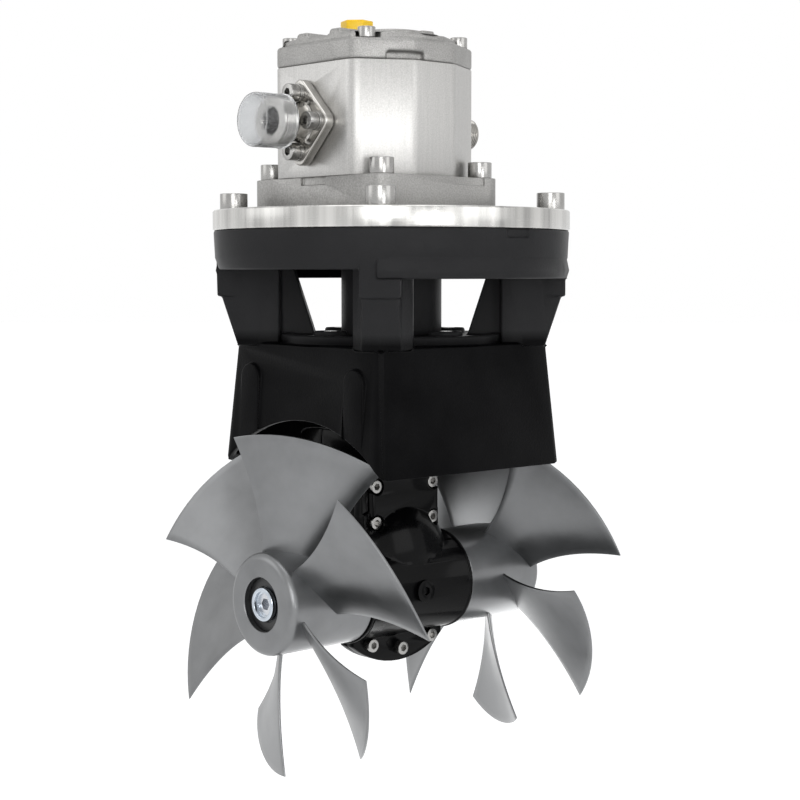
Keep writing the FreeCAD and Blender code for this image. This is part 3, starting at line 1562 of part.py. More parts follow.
def body_outline(sketch, inset=0):
    """Eight-sided outline of the motor body and its cover."""
    centre = S.motor_offset
    half_x = S.body_half_x - inset
    half_y = S.body_half_y - inset
    flat_x = half_x - S.body_chamfer_x
    flat_y = half_y - S.body_chamfer_y
    draw_outline(sketch, [
        (centre + half_x, flat_y),
        (centre + flat_x, half_y),
        (centre - flat_x, half_y),
        (centre - half_x, flat_y),
        (centre - half_x, -flat_y),
        (centre - flat_x, -half_y),
        (centre + flat_x, -half_y),
        (centre + half_x, -flat_y),
    ])


def body_bolt_spots():
    """The four bolts that close the motor."""
    return rectangle_points(S.motor_offset, size_of(0), S.body_bolt_x, S.body_bolt_y)


def port_bolt_spots():
    """Port bolts, above, below and beside the port, as (x, z)."""
    reach = S.port_bolt_circle
    x = S.port_x
    z = PORT_HEIGHT
    return [(x + reach, z), (x, z + reach), (x - reach, z), (x, z - reach)]


def make_motor_body():
    """Extruded centre section with the gear chamber and both ports."""
    body = new_body("motor_body_body")
    plan = sketch_on(body, "motor_body_plan", "XY_Plane", (0, 0, FLANGE_TOP))
    body_outline(plan)
    pad(body, "motor_body_block", plan, S.body_height)
    round_upright_edges(body, "motor_body_corners", S.body_corner, 60.0)
    drill(body, "drive_chamber", "z", [(0, 0)], GEAR_BORE)
    drill(body, "idler_chamber", "z", [(-GEAR_CENTRES, 0)], GEAR_BORE)
    drill(body, "port_bores", "y", [(S.port_x, PORT_HEIGHT)], S.port_bore)
    drill(body, "body_bolt_holes", "z", body_bolt_spots(), S.body_bolt_radius + S.hole_clearance)
    depth = S.port_bolt_length - S.port_plate
    for index, side in enumerate((-1, 1)):
        plan = sketch_on(body, "port_tap_plan_%d" % index, "XZ_Plane",
                         (0, 0, -side * S.body_half_y))
        for x, z in port_bolt_spots():
            draw_circle(plan, x, z, S.port_bolt_radius)
        pocket(body, "port_taps_%d" % index, plan, depth, side > 0)
    keep("motor_body", body)


def make_motor_flange():
    """Lower mounting flange of the motor with its pilot."""
    body = new_body("motor_flange_body")
    plan = sketch_on(body, "motor_flange_plan", "XY_Plane", (0, 0, PLATE_TOP))
    draw_outline(plan, rectangle_points(S.motor_offset, size_of(0), FLANGE_HALF_X, FLANGE_HALF_Y))
    pad(body, "motor_flange_block", plan, S.flange_thickness)
    round_upright_edges(body, "motor_flange_corners", S.flange_margin - 1, 15.0)
    pilot = sketch_on(body, "pilot_plan", "XY_Plane", (0, 0, PLATE_TOP - S.pilot_depth))
    draw_circle(pilot, 0, 0, S.pilot_radius)
    pad(body, "pilot", pilot, S.pilot_depth + 1)
    drill(body, "motor_shaft_hole", "z", [(0, 0)], S.motor_shaft_radius + 1)
    seat = FLANGE_TOP - 4
    counterbore(body, "motor_seal_seat", [(0, 0)], S.motor_seal_radius, seat, S.motor_seal_width)
    counterbore(body, "journal_relief", [(0, 0)], S.motor_shaft_radius + 2, FLANGE_TOP, 4)
    taps = rectangle_points(S.motor_offset, size_of(0), S.flange_bolt_x, S.flange_bolt_y)
    drill(body, "flange_bolt_holes", "z", taps, S.flange_bolt_radius + S.hole_clearance)
    counterbore(body, "body_bolt_taps", body_bolt_spots(), S.body_bolt_radius,
                FLANGE_TOP, S.body_bolt_grip + 1)
    notch = sketch_on(body, "flange_notch_plan", "XY_Plane", (0, 0, FLANGE_TOP))
    width = S.flange_notch_width
    draw_outline(notch, [
        (S.motor_offset - width / 2, -FLANGE_HALF_Y - 2),
        (S.motor_offset + width / 2, -FLANGE_HALF_Y - 2),
        (S.motor_offset + width / 2, -FLANGE_HALF_Y + 2.5),
        (S.motor_offset - width / 2, -FLANGE_HALF_Y + 2.5),
    ])
    draw_outline(notch, [
        (S.motor_offset + FLANGE_HALF_X - 2.5, S.flange_notch_start),
        (S.motor_offset + FLANGE_HALF_X + 2, S.flange_notch_start),
        (S.motor_offset + FLANGE_HALF_X + 2, S.flange_notch_start + width),
        (S.motor_offset + FLANGE_HALF_X - 2.5, S.flange_notch_start + width),
    ])
    pocket(body, "flange_notches", notch, S.flange_notch_height)
    keep("motor_front_flange", body)
    low = seat - S.motor_seal_width
    bore = S.motor_shaft_radius + S.running_clearance
    seal = ring_profile(bore, S.motor_seal_radius, low, seat)
    keep("motor_shaft_seal", turned("motor_seal_body", "z", seal))


def make_end_cover():
    """Cast top cover with bolt bosses, ribs and the case drain boss."""
    body = new_body("end_cover_body")
    plan = sketch_on(body, "cover_plan", "XY_Plane", (0, 0, BODY_TOP))
    body_outline(plan)
    pad(body, "cover_plate", plan, S.cover_thickness)
    round_upright_edges(body, "cover_corners", S.body_corner, 10.0)
    rise = S.cover_rib_height + 1
    centre = S.motor_offset
    plateau = sketch_on(body, "cover_plateau_plan", "XY_Plane", (0, 0, COVER_TOP - 1))
    body_outline(plateau, S.cover_inset)
    pad(body, "cover_plateau", plateau, S.cover_plateau + 1)
    domes = ((size_of(0), "drive"), (-GEAR_CENTRES, "idler"))
    for x, tag in domes:
        dome = sketch_on(body, "cover_dome_plan_" + tag, "XY_Plane", (0, 0, COVER_TOP - 1))
        draw_circle(dome, x, 0, S.cover_dome_radius)
        pad(body, "cover_dome_" + tag, dome, rise)
    half = S.cover_rib_half
    reach_x = S.body_half_x - S.cover_inset - 2
    reach_y = S.body_half_y - S.cover_inset
    long_rib = sketch_on(body, "cover_long_rib_plan", "XY_Plane", (0, 0, COVER_TOP - 1))
    draw_outline(long_rib, [
        (centre - reach_x, -half), (centre + reach_x, -half),
        (centre + reach_x, half), (centre - reach_x, half),
    ])
    pad(body, "cover_long_rib", long_rib, rise - 4)
    for index, x in enumerate((0, -GEAR_CENTRES)):
        rib = sketch_on(body, "cover_rib_plan_%d" % index, "XY_Plane", (0, 0, COVER_TOP - 1))
        draw_outline(rib, [
            (x - half, -reach_y), (x + half, -reach_y), (x + half, reach_y), (x - half, reach_y),
        ])
        pad(body, "cover_rib_%d" % index, rib, rise - 1)
    boss = sketch_on(body, "drain_boss_plan", "XY_Plane", (0, 0, RIB_TOP - 1))
    draw_circle(boss, S.drain_x, 0, S.drain_boss_radius)
    pad(body, "drain_boss", boss, S.drain_boss_height + 1)
    holes = body_bolt_spots()
    counterbore(body, "cover_bolt_holes", holes, S.body_bolt_radius + S.hole_clearance,
                RIB_TOP + 10, RIB_TOP - BODY_TOP + 12)
    counterbore(body, "cover_bolt_seats", holes, S.body_bolt_head_radius + 3, RIB_TOP + 8,
                RIB_TOP + 8 - COVER_TOP)
    top = RIB_TOP + S.drain_boss_height
    counterbore(body, "drain_tap", [(S.drain_x, 0)], S.drain_thread_radius, top,
                S.drain_thread_length)
    notch = sketch_on(body, "cover_notch_plan", "XY_Plane", (0, 0, BODY_TOP))
    edge = centre + S.body_half_x
    draw_outline(notch, [
        (edge + 6, -10), (edge - 6, -10), (edge - 6, -22), (edge - 15, -36), (edge + 6, -45),
    ])
    pocket(body, "cover_notch", notch, 6.0, True)
    keep("motor_end_cover", body)


def make_motor_fasteners():
    """Plate, flange, body and port screws of the motor."""
    seats = [(x, y, PLATE_TOP) for x, y in diagonal_points(S.plate_bolt_circle)]
    pieces = screws("plate_bolt", seats, "+z", S.plate_bolt_radius, S.plate_bolt_length,
                    S.plate_bolt_head_radius, S.plate_bolt_head, S.plate_bolt_radius * 0.98)
    keep("plate_bolts", group("plate_bolt_set", pieces))
    spots = rectangle_points(S.motor_offset, size_of(0), S.flange_bolt_x, S.flange_bolt_y)
    seats = [(x, y, FLANGE_TOP) for x, y in spots]
    pieces = screws("flange_bolt", seats, "+z", S.flange_bolt_radius, S.flange_bolt_length,
                    S.flange_bolt_head_radius, S.flange_bolt_head, S.flange_bolt_radius * 0.96)
    keep("flange_bolts", group("flange_bolt_set", pieces))
    seats = [(x, y, COVER_TOP) for x, y in body_bolt_spots()]
    length = COVER_TOP - FLANGE_TOP + S.body_bolt_grip
    pieces = screws("body_bolt", seats, "+z", S.body_bolt_radius, length,
                    S.body_bolt_head_radius, S.body_bolt_head, S.body_bolt_radius * 0.86)
    keep("motor_body_bolts", group("body_bolt_set", pieces))
    bolts = []
    washers = []
    for tag, side, axis in (("near", -1, "-y"), ("far", 1, "+y")):
        seats = []
        for index, (x, z) in enumerate(port_bolt_spots()):
            face = (x, side * PORT_FACE, z)
            seats.append(shift(face, axis, S.port_washer))
            name = "port_washer_%s_%d" % (tag, index)
            outer = cylinder(name + "_outer", face, axis, S.port_washer_radius, S.port_washer)
            inner = cylinder(name + "_inner", face, axis, S.port_bolt_radius, S.port_washer)
            washers.append(cut(name, outer, inner))
        bolts += screws("port_bolt_" + tag, seats, axis, S.port_bolt_radius,
                        S.port_bolt_length + S.port_washer, S.port_bolt_head_radius,
                        S.port_bolt_head, S.port_bolt_radius * 0.86)
    keep("port_bolts", group("port_bolt_set", bolts))
    keep("port_washers", group("port_washer_set", washers))


def make_port(name, side, neck_length, shoulder, thread_radius, thread_length):
    """Port connector: square plate on its corner, neck and outer thread."""
    body = new_body(name + "_body")
    x = S.port_x
    z = PORT_HEIGHT
    half = S.port_plate_half
    cut_off = S.port_plate_corner * 0.9
    flat = half - cut_off
    corners = []
    for px, py in ((half, flat), (flat, half), (-flat, half), (-half, flat),
                   (-half, -flat), (-flat, -half), (flat, -half), (half, -flat)):
        corners.append((px, py))
    level = -side * S.body_half_y
    plan = sketch_on(body, name + "_plate_plan", "XZ_Plane", (x, z, level), 45.0)
    draw_outline(plan, corners)
    pad(body, name + "_plate", plan, S.port_plate, backwards=side > 0)
    start = S.body_half_y + 1
    neck_end = PORT_FACE + neck_length
    shoulder_end = neck_end + shoulder
    end = shoulder_end + thread_length
    section = sketch_on(body, name + "_section", "YZ_Plane", (0, z, x))
    neck = S.port_neck_radius
    outer = thread_radius
    bore = S.port_bore
    draw_outline(section, [
        (side * start, bore - 1),
        (side * start, neck),
        (side * neck_end, neck),
        (side * shoulder_end, outer),
        (side * (end - 1), outer),
        (side * end, outer - 1),
        (side * end, bore - 1),
    ])
    revolve(body, name + "_neck", section, "H_Axis")
    hole = sketch_on(body, name + "_bore_plan", "XZ_Plane")
    draw_circle(hole, x, z, bore)
    pocket(body, name + "_bore", hole)
    holes = sketch_on(body, name + "_bolt_plan", "XZ_Plane", (0, 0, -side * PORT_FACE))
    for bolt_x, bolt_z in port_bolt_spots():
        draw_circle(holes, bolt_x, bolt_z, S.port_bolt_radius + S.hole_clearance)
    pocket(body, name + "_bolt_holes", holes, S.port_plate, side > 0)
    keep(name, body)


def make_port_cap():
    """Push-on protective cap over the near port."""
    inner = S.port_thread_radius + S.running_clearance
    outer = inner + S.cap_wall
    floor = PORT_END + S.cap_room
    end = floor + S.cap_end
    open_end = PORT_END - S.cap_depth
    profile = [
        (0, -floor),
        (inner, -floor),
        (inner, -open_end),
        (outer, -open_end),
        (outer, -end + 2),
        (outer - 2, -end),
        (0, -end),
    ]
    keep("port_cap", turned("port_cap_body", "y", profile, (S.port_x, 0, PORT_HEIGHT)))


def make_drain_plug():
    """Yellow hexagon plug in the case drain."""
    top = RIB_TOP + S.drain_boss_height
    seat = (S.drain_x, 0, top)
    head = hexagon("drain_hex", seat, "+z", S.drain_hex_radius, S.drain_hex_height)
    thread = cylinder("drain_thread", seat, "-z", S.drain_thread_radius,
                      S.drain_thread_length - 1)
    keep("case_drain_plug", fuse("drain_plug_whole", [head, thread]))


def make_gaskets():
    """Soft curved gasket on the leg flange, against the tunnel's inside."""
    inner = S.tunnel_inner_radius - S.leg_seal_gap
    body = new_body("leg_gasket_body")
    section = sketch_on(body, "leg_gasket_section", "YZ_Plane")
    reach = S.leg_flange_radius
    outer = S.tunnel_inner_radius
    draw_outline(section, [(-reach, inner), (reach, inner), (reach, outer), (-reach, outer)])
    revolve(body, "leg_gasket_band", section, "H_Axis")
    plan = sketch_on(body, "leg_gasket_plan", "XY_Plane", (0, 0, 0))
    draw_circle(plan, 0, 0, S.leg_flange_radius * 3)
    draw_circle(plan, 0, 0, S.leg_flange_radius)
    pocket(body, "leg_gasket_trim", plan)
    lower = sketch_on(body, "leg_gasket_lower", "XY_Plane")
    draw_circle(lower, 0, 0, S.leg_flange_radius * 3)
    pocket(body, "leg_gasket_half", lower, S.tunnel_inner_radius * 2)
    drill(body, "leg_gasket_stem", "z", [(0, 0)], S.stem_radius + S.seat_clearance)
    drill(body, "leg_gasket_studs", "z", cross_points(S.stud_circle),
          S.stud_radius + S.hole_clearance)
    keep("leg_flange_gasket", body)


def build():
    """Make every sub-part."""
    make_adaptor_plate()
    make_motor_bracket()
    make_coupling_guard()
    make_stem()
    make_leg()
    make_leg_fasteners()
    make_clamp_bolts()
    make_gaskets()
    make_leg_bearings()
    make_crown_gear()
    make_pinion_shaft()
    make_propeller_shaft()
    make_propeller("propeller_near", -1, -S.near_blade_turn.value)
    make_propeller("propeller_far", 1, S.far_blade_turn.value)
    make_propeller_details()
    make_coupling()
    make_motor_gears()
    make_bearing_blocks()
    make_motor_body()
    make_motor_flange()
    make_end_cover()
    make_port("port_connector_near", -1, S.port_neck_length, S.port_shoulder,
              S.port_thread_radius, S.port_thread_length)
    make_port("port_connector_far", 1, S.far_neck_length, S.far_shoulder,
              S.far_thread_radius, S.far_thread_length)
    make_port_cap()
    make_drain_plug()
    make_motor_fasteners()


def check_and_export():
    """Stop on any failed object or bad shape, then write one file per sub-part."""
    DOC.recompute()
    for item in DOC.Objects:
        if "Invalid" in item.State or "Error" in item.State:
            raise RuntimeError("failed object " + item.Name)
    for name, item in NODES.items():
        shape = item.Shape
        if shape.isNull() or not shape.isValid() or not shape.Solids:
            raise RuntimeError("bad shape in " + name)
    os.makedirs("parts", exist_ok=True)
    for name, item in NODES.items():
        item.Shape.exportStep("parts/%s.step" % name)
        box_of = item.Shape.BoundBox
        print("%-26s %2d solids  x %7.1f %7.1f  y %7.1f %7.1f  z %7.1f %7.1f" % (
            name, len(item.Shape.Solids), box_of.XMin, box_of.XMax,
            box_of.YMin, box_of.YMax, box_of.ZMin, box_of.ZMax))


build()
check_and_export()
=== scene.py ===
"""Looks of a hydraulic bow thruster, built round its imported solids.

Metres, in the row's own frame: Z up along the drive axis, Y along the
propeller axis, and the origin where the two cross. Sizes are written in
millimetres and turned to metres with MM.
"""
import json
import math

import bmesh
import bpy
from bpy.props import FloatProperty, FloatVectorProperty, IntProperty, PointerProperty
from mathutils import Matrix, Vector


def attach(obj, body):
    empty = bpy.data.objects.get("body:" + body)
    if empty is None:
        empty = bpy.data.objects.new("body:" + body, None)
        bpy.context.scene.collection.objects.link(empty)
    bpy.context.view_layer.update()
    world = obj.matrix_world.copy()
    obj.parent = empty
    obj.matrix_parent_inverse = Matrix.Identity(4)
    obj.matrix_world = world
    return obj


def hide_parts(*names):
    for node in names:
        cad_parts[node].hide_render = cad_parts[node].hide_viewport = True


bl_info = {
    "name": "Hydraulic bow thruster",
    "version": (1, 0, 0),
    "blender": (4, 5, 0),
    "location": "View3D > Sidebar > Thruster",
    "description": "Dresses the packed bow thruster with fine shapes and finishes",
    "category": "Object",
}

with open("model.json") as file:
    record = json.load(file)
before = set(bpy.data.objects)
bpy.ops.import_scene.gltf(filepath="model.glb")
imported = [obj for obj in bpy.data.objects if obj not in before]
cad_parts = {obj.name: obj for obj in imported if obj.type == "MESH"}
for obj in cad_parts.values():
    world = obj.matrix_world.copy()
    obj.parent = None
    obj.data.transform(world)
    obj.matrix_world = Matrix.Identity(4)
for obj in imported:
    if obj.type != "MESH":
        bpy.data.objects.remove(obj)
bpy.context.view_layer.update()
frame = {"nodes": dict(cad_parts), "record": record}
MM = 0.001
ROOT = "thruster_frame"

# Levels and places of the solids, in millimetres like all sizes below
PLATE_TOP = 285.0
FLANGE_TOP = 309.5
COVER_TOP = 408.0
MOTOR_X = -19.0
PORT_X = -25.0
PORT_Z = 349.25
PORT_BOLT_REACH = 21.5
PORT_BORE = 10.0
STUD_CIRCLE = 60.0
STUD_SEAT = 100.0
STUD_NUT_SEAT = 187.0

# Propeller: radii first, then distances from the middle plane
TIP_RADIUS = 123.0
HUB_RADIUS = 37.5
HUB_NOSE = 5.8
HUB_SKIRT = 33.5
HUB_RECESS = 19.8
HUB_BOSS = 16.0
HUB_BORE = 10.0
HUB_INNER = 50.6
HUB_BOSS_END = 59.6
HUB_WEB = 108.0
HUB_FLOOR = 119.0
HUB_OUTER = 126.0

# Sloping side of the bracket's saddle, and the box that holds its faint bulges
SADDLE_TOP = 186.0
SADDLE_BOTTOM = 90.0
SADDLE_HALF_TOP = 84.5
SADDLE_HALF_BOTTOM = 91.8
BULGE_LOW = 164.0
BULGE_HIGH = 177.0
BULGE_REACH = 62.0
BULGE_OUTSIDE = 86.1

# Heights between which the bracket's paint turns from deep black to grey, a painted reflection of
# the floor on the ring and legs
PAINTED_REFLECTION_FROM = 188.0
PAINTED_REFLECTION_TO = 196.0


def shade(text):
    """Turn an sRGB hex colour such as "#8c8c8c" into linear values with alpha."""
    values = []
    for start in (1, 3, 5):
        part = int(text[start:start + 2], 16) / 255.0
        if part <= 0.04045:
            values.append(part / 12.92)
        else:
            values.append(((part + 0.055) / 1.055) ** 2.4)
    return (values[0], values[1], values[2], 1.0)


def colour_setting(name, text, about):
    """A colour the user can change, with its default as linear values."""
    return FloatVectorProperty(name=name, description=about, subtype="COLOR", size=4,
                               min=0.0, max=1.0, default=shade(text))


class ThrusterSizes(bpy.types.PropertyGroup):
    """Sizes of the fine shapes that the solids leave out."""

    casting_edge: FloatProperty(name="Casting edge", unit="LENGTH", default=1.6 * MM,
                                description="Rounding of the castings' edges")
    machined_edge: FloatProperty(name="Machined edge", unit="LENGTH", default=0.6 * MM,
                                 description="Break of the machined edges")
    blade_tip: FloatProperty(name="Blade tip thickness", unit="LENGTH", default=2.4 * MM,
                             description="Thickness of a blade at its tip")
    blade_root: FloatProperty(name="Blade root thickness", unit="LENGTH", default=5.0 * MM,
                              description="Thickness of a blade at the hub")
    blades: IntProperty(name="Blades", default=6, min=3, max=8,
                        description="Blades on each propeller")
    cap_wall: FloatProperty(name="Cap wall", unit="LENGTH", default=1.2 * MM,
                            description="Wall of the push-on port cap")
    thread_pitch: FloatProperty(name="Port thread pitch", unit="LENGTH", default=1.8 * MM,
                                description="Distance between the port's thread ridges")


class ThrusterColours(bpy.types.PropertyGroup):
    """Colours of the finishes."""

    bracket: colour_setting("Bracket", "#060607", "Black paint of the bracket")
    # The ring and legs' grey is a painted reflection of the floor below, blended in by height in
    # painted_casting
    ring: colour_setting("Bracket ring", "#303031", "Drier black paint of the ring and legs")
    leg: colour_setting("Drive leg", "#050506", "Black enamel of the drive leg")
    plate: colour_setting("Adaptor plate", "#d8d7d4", "Turned aluminium")
    motor: colour_setting("Motor body", "#bfbebc", "Extruded aluminium")
    cover: colour_setting("Cover and flange", "#9b9a98", "Bead-blasted castings")
    steel: colour_setting("Screws", "#9f9e9c", "Stainless steel")
    port: colour_setting("Ports", "#b8b6b2", "Zinc plated steel")
    propeller: colour_setting("Propellers", "#7b7c7d", "Cast alloy")
    plug: colour_setting("Drain plug", "#ffcf0a", "Yellow plastic")


def sizes():
    """The user's sizes."""
    return bpy.context.scene.thruster_sizes


def colours():
    """The user's colours."""
    return bpy.context.scene.thruster_colours


# Materials

def add_node(tree, kind, settings=None, links=None):
    """Add one node, set its sockets or options, and link other sockets to it."""
    node = tree.nodes.new(kind)
    for key, value in (settings or {}).items():
        if isinstance(key, int) or key in node.inputs:
            node.inputs[key].default_value = value
        else:
            setattr(node, key, value)
    for key, source in (links or {}).items():
        tree.links.new(source, node.inputs[key])
    return node


def new_material(name, colour, metallic, roughness):
    """A material with one shader; returns it with its tree and shader."""
    material = bpy.data.materials.new(name)
    material.use_nodes = True
    tree = material.node_tree
    tree.nodes.clear()
    settings = {"Base Color": colour, "Metallic": metallic, "Roughness": roughness}
    shader = add_node(tree, "ShaderNodeBsdfPrincipled", settings)
    add_node(tree, "ShaderNodeOutputMaterial", links={"Surface": shader.outputs[0]})
    return material, tree, shader


def object_noise(tree, grain, stretch=(1, 1, 1), detail=4.0):
    """Noise on Object coordinates whose features are about grain millimetres wide."""
    place = add_node(tree, "ShaderNodeTexCoord")
    scale = [value / (grain * MM) for value in stretch]
    mapping = add_node(tree, "ShaderNodeMapping", {"Scale": scale},
                       {"Vector": place.outputs["Object"]})
    return add_node(tree, "ShaderNodeTexNoise", {"Scale": 1.0, "Detail": detail},
                    {"Vector": mapping.outputs[0]})


def tint(colour, factor):
    """A colour made darker or lighter by a factor."""
    return [min(1.0, value * factor) for value in colour[:3]] + [1.0]


def blend_colour(tree, shader, factor, *stops):
    """Drive the base colour with a factor through two (position, colour) stops."""
    ramp = add_node(tree, "ShaderNodeValToRGB", links={"Fac": factor})
    for element, (position, colour) in zip(ramp.color_ramp.elements, stops):
        element.position = position
        element.color = colour
    tree.links.new(ramp.outputs["Color"], shader.inputs["Base Color"])


def vary_colour(tree, shader, noise, colour, amount):
    """Let the base colour drift lighter and darker with the noise."""
    blend_colour(tree, shader, noise.outputs["Fac"], (0.3, tint(colour, 1 - amount)),
                 (0.7, tint(colour, 1 + amount)))


def vary_roughness(tree, shader, noise, low, high):
    """Let the roughness drift between two values with the noise."""
    ranged = add_node(tree, "ShaderNodeMapRange",
                      {"From Min": 0.3, "From Max": 0.7, "To Min": low, "To Max": high},
                      {"Value": noise.outputs["Fac"]})
    tree.links.new(ranged.outputs[0], shader.inputs["Roughness"])


def add_bump(tree, shader, height, depth):
    """Raise the surface by depth millimetres with a height socket."""
    settings = {"Strength": 1.0, "Distance": depth * MM}
    links = {"Height": height}
    if shader.inputs["Normal"].is_linked:
        links["Normal"] = shader.inputs["Normal"].links[0].from_socket
    bump = add_node(tree, "ShaderNodeBump", settings, links)
    tree.links.new(bump.outputs[0], shader.inputs["Normal"])


def painted_casting():
    """Black paint over sand-cast aluminium, whose grain shows softly through it.

    The saddle is deep black, and the legs and ring above it turn greyer, a painted reflection of
    the pale floor below.
    """
    low = tuple(colours().bracket)
    high = tuple(colours().ring)
    material, tree, shader = new_material("black_paint_on_sand_casting", low, 0.0, 0.4)
    shader.inputs["Specular IOR Level"].default_value = 0.035
    grain = object_noise(tree, 1.6, detail=6.0)
    add_bump(tree, shader, grain.outputs["Fac"], 0.16)
    broad = object_noise(tree, 40.0)
    vary_roughness(tree, shader, broad, 0.3, 0.42)
    # Painted reflection: above the saddle the colour turns grey, standing in for the floor
    # mirrored in the ring and legs' paint
    place = add_node(tree, "ShaderNodeTexCoord")
    height = add_node(tree, "ShaderNodeSeparateXYZ", links={0: place.outputs["Object"]})
    lift = add_node(tree, "ShaderNodeMapRange",
                    {"From Min": PAINTED_REFLECTION_FROM * MM, "From Max": PAINTED_REFLECTION_TO * MM,
                     "To Min": 0.0, "To Max": 0.8},
                    {"Value": height.outputs["Z"]})
    drift = add_node(tree, "ShaderNodeMath", {"operation": "MULTIPLY_ADD", 1: 0.3},
                     {0: broad.outputs["Fac"], 2: lift.outputs[0]})
    blend_colour(tree, shader, drift.outputs[0], (0.1, low), (1.0, high))
    return material


def leg_enamel():
    """Sprayed black enamel: smoother, with faint orange peel and a wetter shine."""
    colour = tuple(colours().leg)
    material, tree, shader = new_material("black_enamel_sprayed", colour, 0.0, 0.3)
    shader.inputs["Specular IOR Level"].default_value = 0.04
    shader.inputs["Coat Weight"].default_value = 0.15
    shader.inputs["Coat Roughness"].default_value = 0.12
    peel = object_noise(tree, 3.0, detail=2.0)
    add_bump(tree, shader, peel.outputs["Fac"], 0.06)
    broad = object_noise(tree, 30.0)
    vary_roughness(tree, shader, broad, 0.24, 0.36)
    return material


def turned_aluminium():
    """Lathe-turned aluminium: fine rings round the axis, and upright bands of painted reflection
    in its colour, whose roughness drifts along them.
    """
    colour = tuple(colours().plate)
    material, tree, shader = new_material("turned_aluminium", colour, 1.0, 0.24)
    place = add_node(tree, "ShaderNodeTexCoord")
    # Real feed marks are about 0.2 mm apart; drawn at 0.9 mm so that they show
    rings = add_node(tree, "ShaderNodeTexWave",
                     {"wave_type": "RINGS", "rings_direction": "Z",
                      "Scale": 0.31 / (0.9 * MM), "Distortion": 0.4, "Detail": 2.0},
                     {"Vector": place.outputs["Object"]})
    add_bump(tree, shader, rings.outputs["Fac"], 0.02)
    marks = object_noise(tree, 0.8, (0.02, 0.02, 1.0), 3.0)
    add_bump(tree, shader, marks.outputs["Fac"], 0.03)
    # Painted reflection: upright light and dark bands in the colour stand in for the surroundings
    # mirrored in the turned rim
    painted_reflection_bands = object_noise(tree, 14.0, (1.0, 1.0, 0.01), 6.0)
    vary_colour(tree, shader, painted_reflection_bands, tint(colour, 0.72), 0.38)
    vary_roughness(tree, shader, painted_reflection_bands, 0.2, 0.32)
    return material


def extruded_aluminium():
    """Extruded and tumbled aluminium: a fine speckle and the faintest streaks along Z."""
    colour = tuple(colours().motor)
    material, tree, shader = new_material("extruded_aluminium", colour, 1.0, 0.42)
    streaks = object_noise(tree, 1.2, (1.0, 1.0, 0.03), 4.0)
    speckle = object_noise(tree, 0.9, detail=5.0)
    mixed = add_node(tree, "ShaderNodeMath", {"operation": "MULTIPLY_ADD", 1: 0.35},
                     {0: streaks.outputs["Fac"], 2: speckle.outputs["Fac"]})
    blend_colour(tree, shader, mixed.outputs[0], (0.5, tint(colour, 0.8)), (0.85, colour))
    add_bump(tree, shader, speckle.outputs["Fac"], 0.05)
    return material


def blasted_casting():
    """Bead-blasted grey casting: matt, with a pitted grain of under a millimetre."""
    colour = tuple(colours().cover)
    material, tree, shader = new_material("bead_blasted_casting", colour, 0.85, 0.5)
    grain = object_noise(tree, 0.9, detail=6.0)
    add_bump(tree, shader, grain.outputs["Fac"], 0.14)
    vary_colour(tree, shader, grain, colour, 0.22)
    broad = object_noise(tree, 18.0)
    vary_roughness(tree, shader, broad, 0.42, 0.58)
    return material


def plain_metal(name, colour, roughness, grain, depth, drift=0.06):
    """Machined or plated metal whose polish drifts a little over the surface."""
    material, tree, shader = new_material(name, colour, 1.0, roughness)
    fine = object_noise(tree, grain, detail=4.0)
    add_bump(tree, shader, fine.outputs["Fac"], depth)
    broad = object_noise(tree, 9.0)
    vary_roughness(tree, shader, broad, roughness - drift, roughness + drift)
    vary_colour(tree, shader, broad, colour, 0.08)
    return material


def propeller_alloy():
    """Cast alloy, ground and tumbled: satin with faint grinding strokes."""
    colour = tuple(colours().propeller)
    material, tree, shader = new_material("satin_cast_alloy", colour, 1.0, 0.34)
    strokes = object_noise(tree, 1.4, (1.0, 0.25, 1.0), 5.0)
    add_bump(tree, shader, strokes.outputs["Fac"], 0.012)
    broad = object_noise(tree, 22.0)
    vary_colour(tree, shader, broad, colour, 0.1)
    vary_roughness(tree, shader, broad, 0.3, 0.38)
    return material


def moulded(name, colour, roughness):
    """Moulded plastic or rubber with a faint surface grain."""
    material, tree, shader = new_material(name, colour, 0.0, roughness)
    fine = object_noise(tree, 1.0, detail=3.0)
    add_bump(tree, shader, fine.outputs["Fac"], 0.02)
    vary_roughness(tree, shader, fine, roughness * 0.85, roughness * 1.15)
    return material


def clear_cap_plastic():
    """Natural polyethylene, moulded thin: almost clear, with a slightly waxy surface."""
    material, tree, shader = new_material("natural_polyethylene", shade("#e9eaeb"), 0.0, 0.22)
    shader.inputs["IOR"].default_value = 1.3
    shader.inputs["Transmission Weight"].default_value = 0.95
    fine = object_noise(tree, 2.0)
    add_bump(tree, shader, fine.outputs["Fac"], 0.02)
    return material


MATERIALS = {}


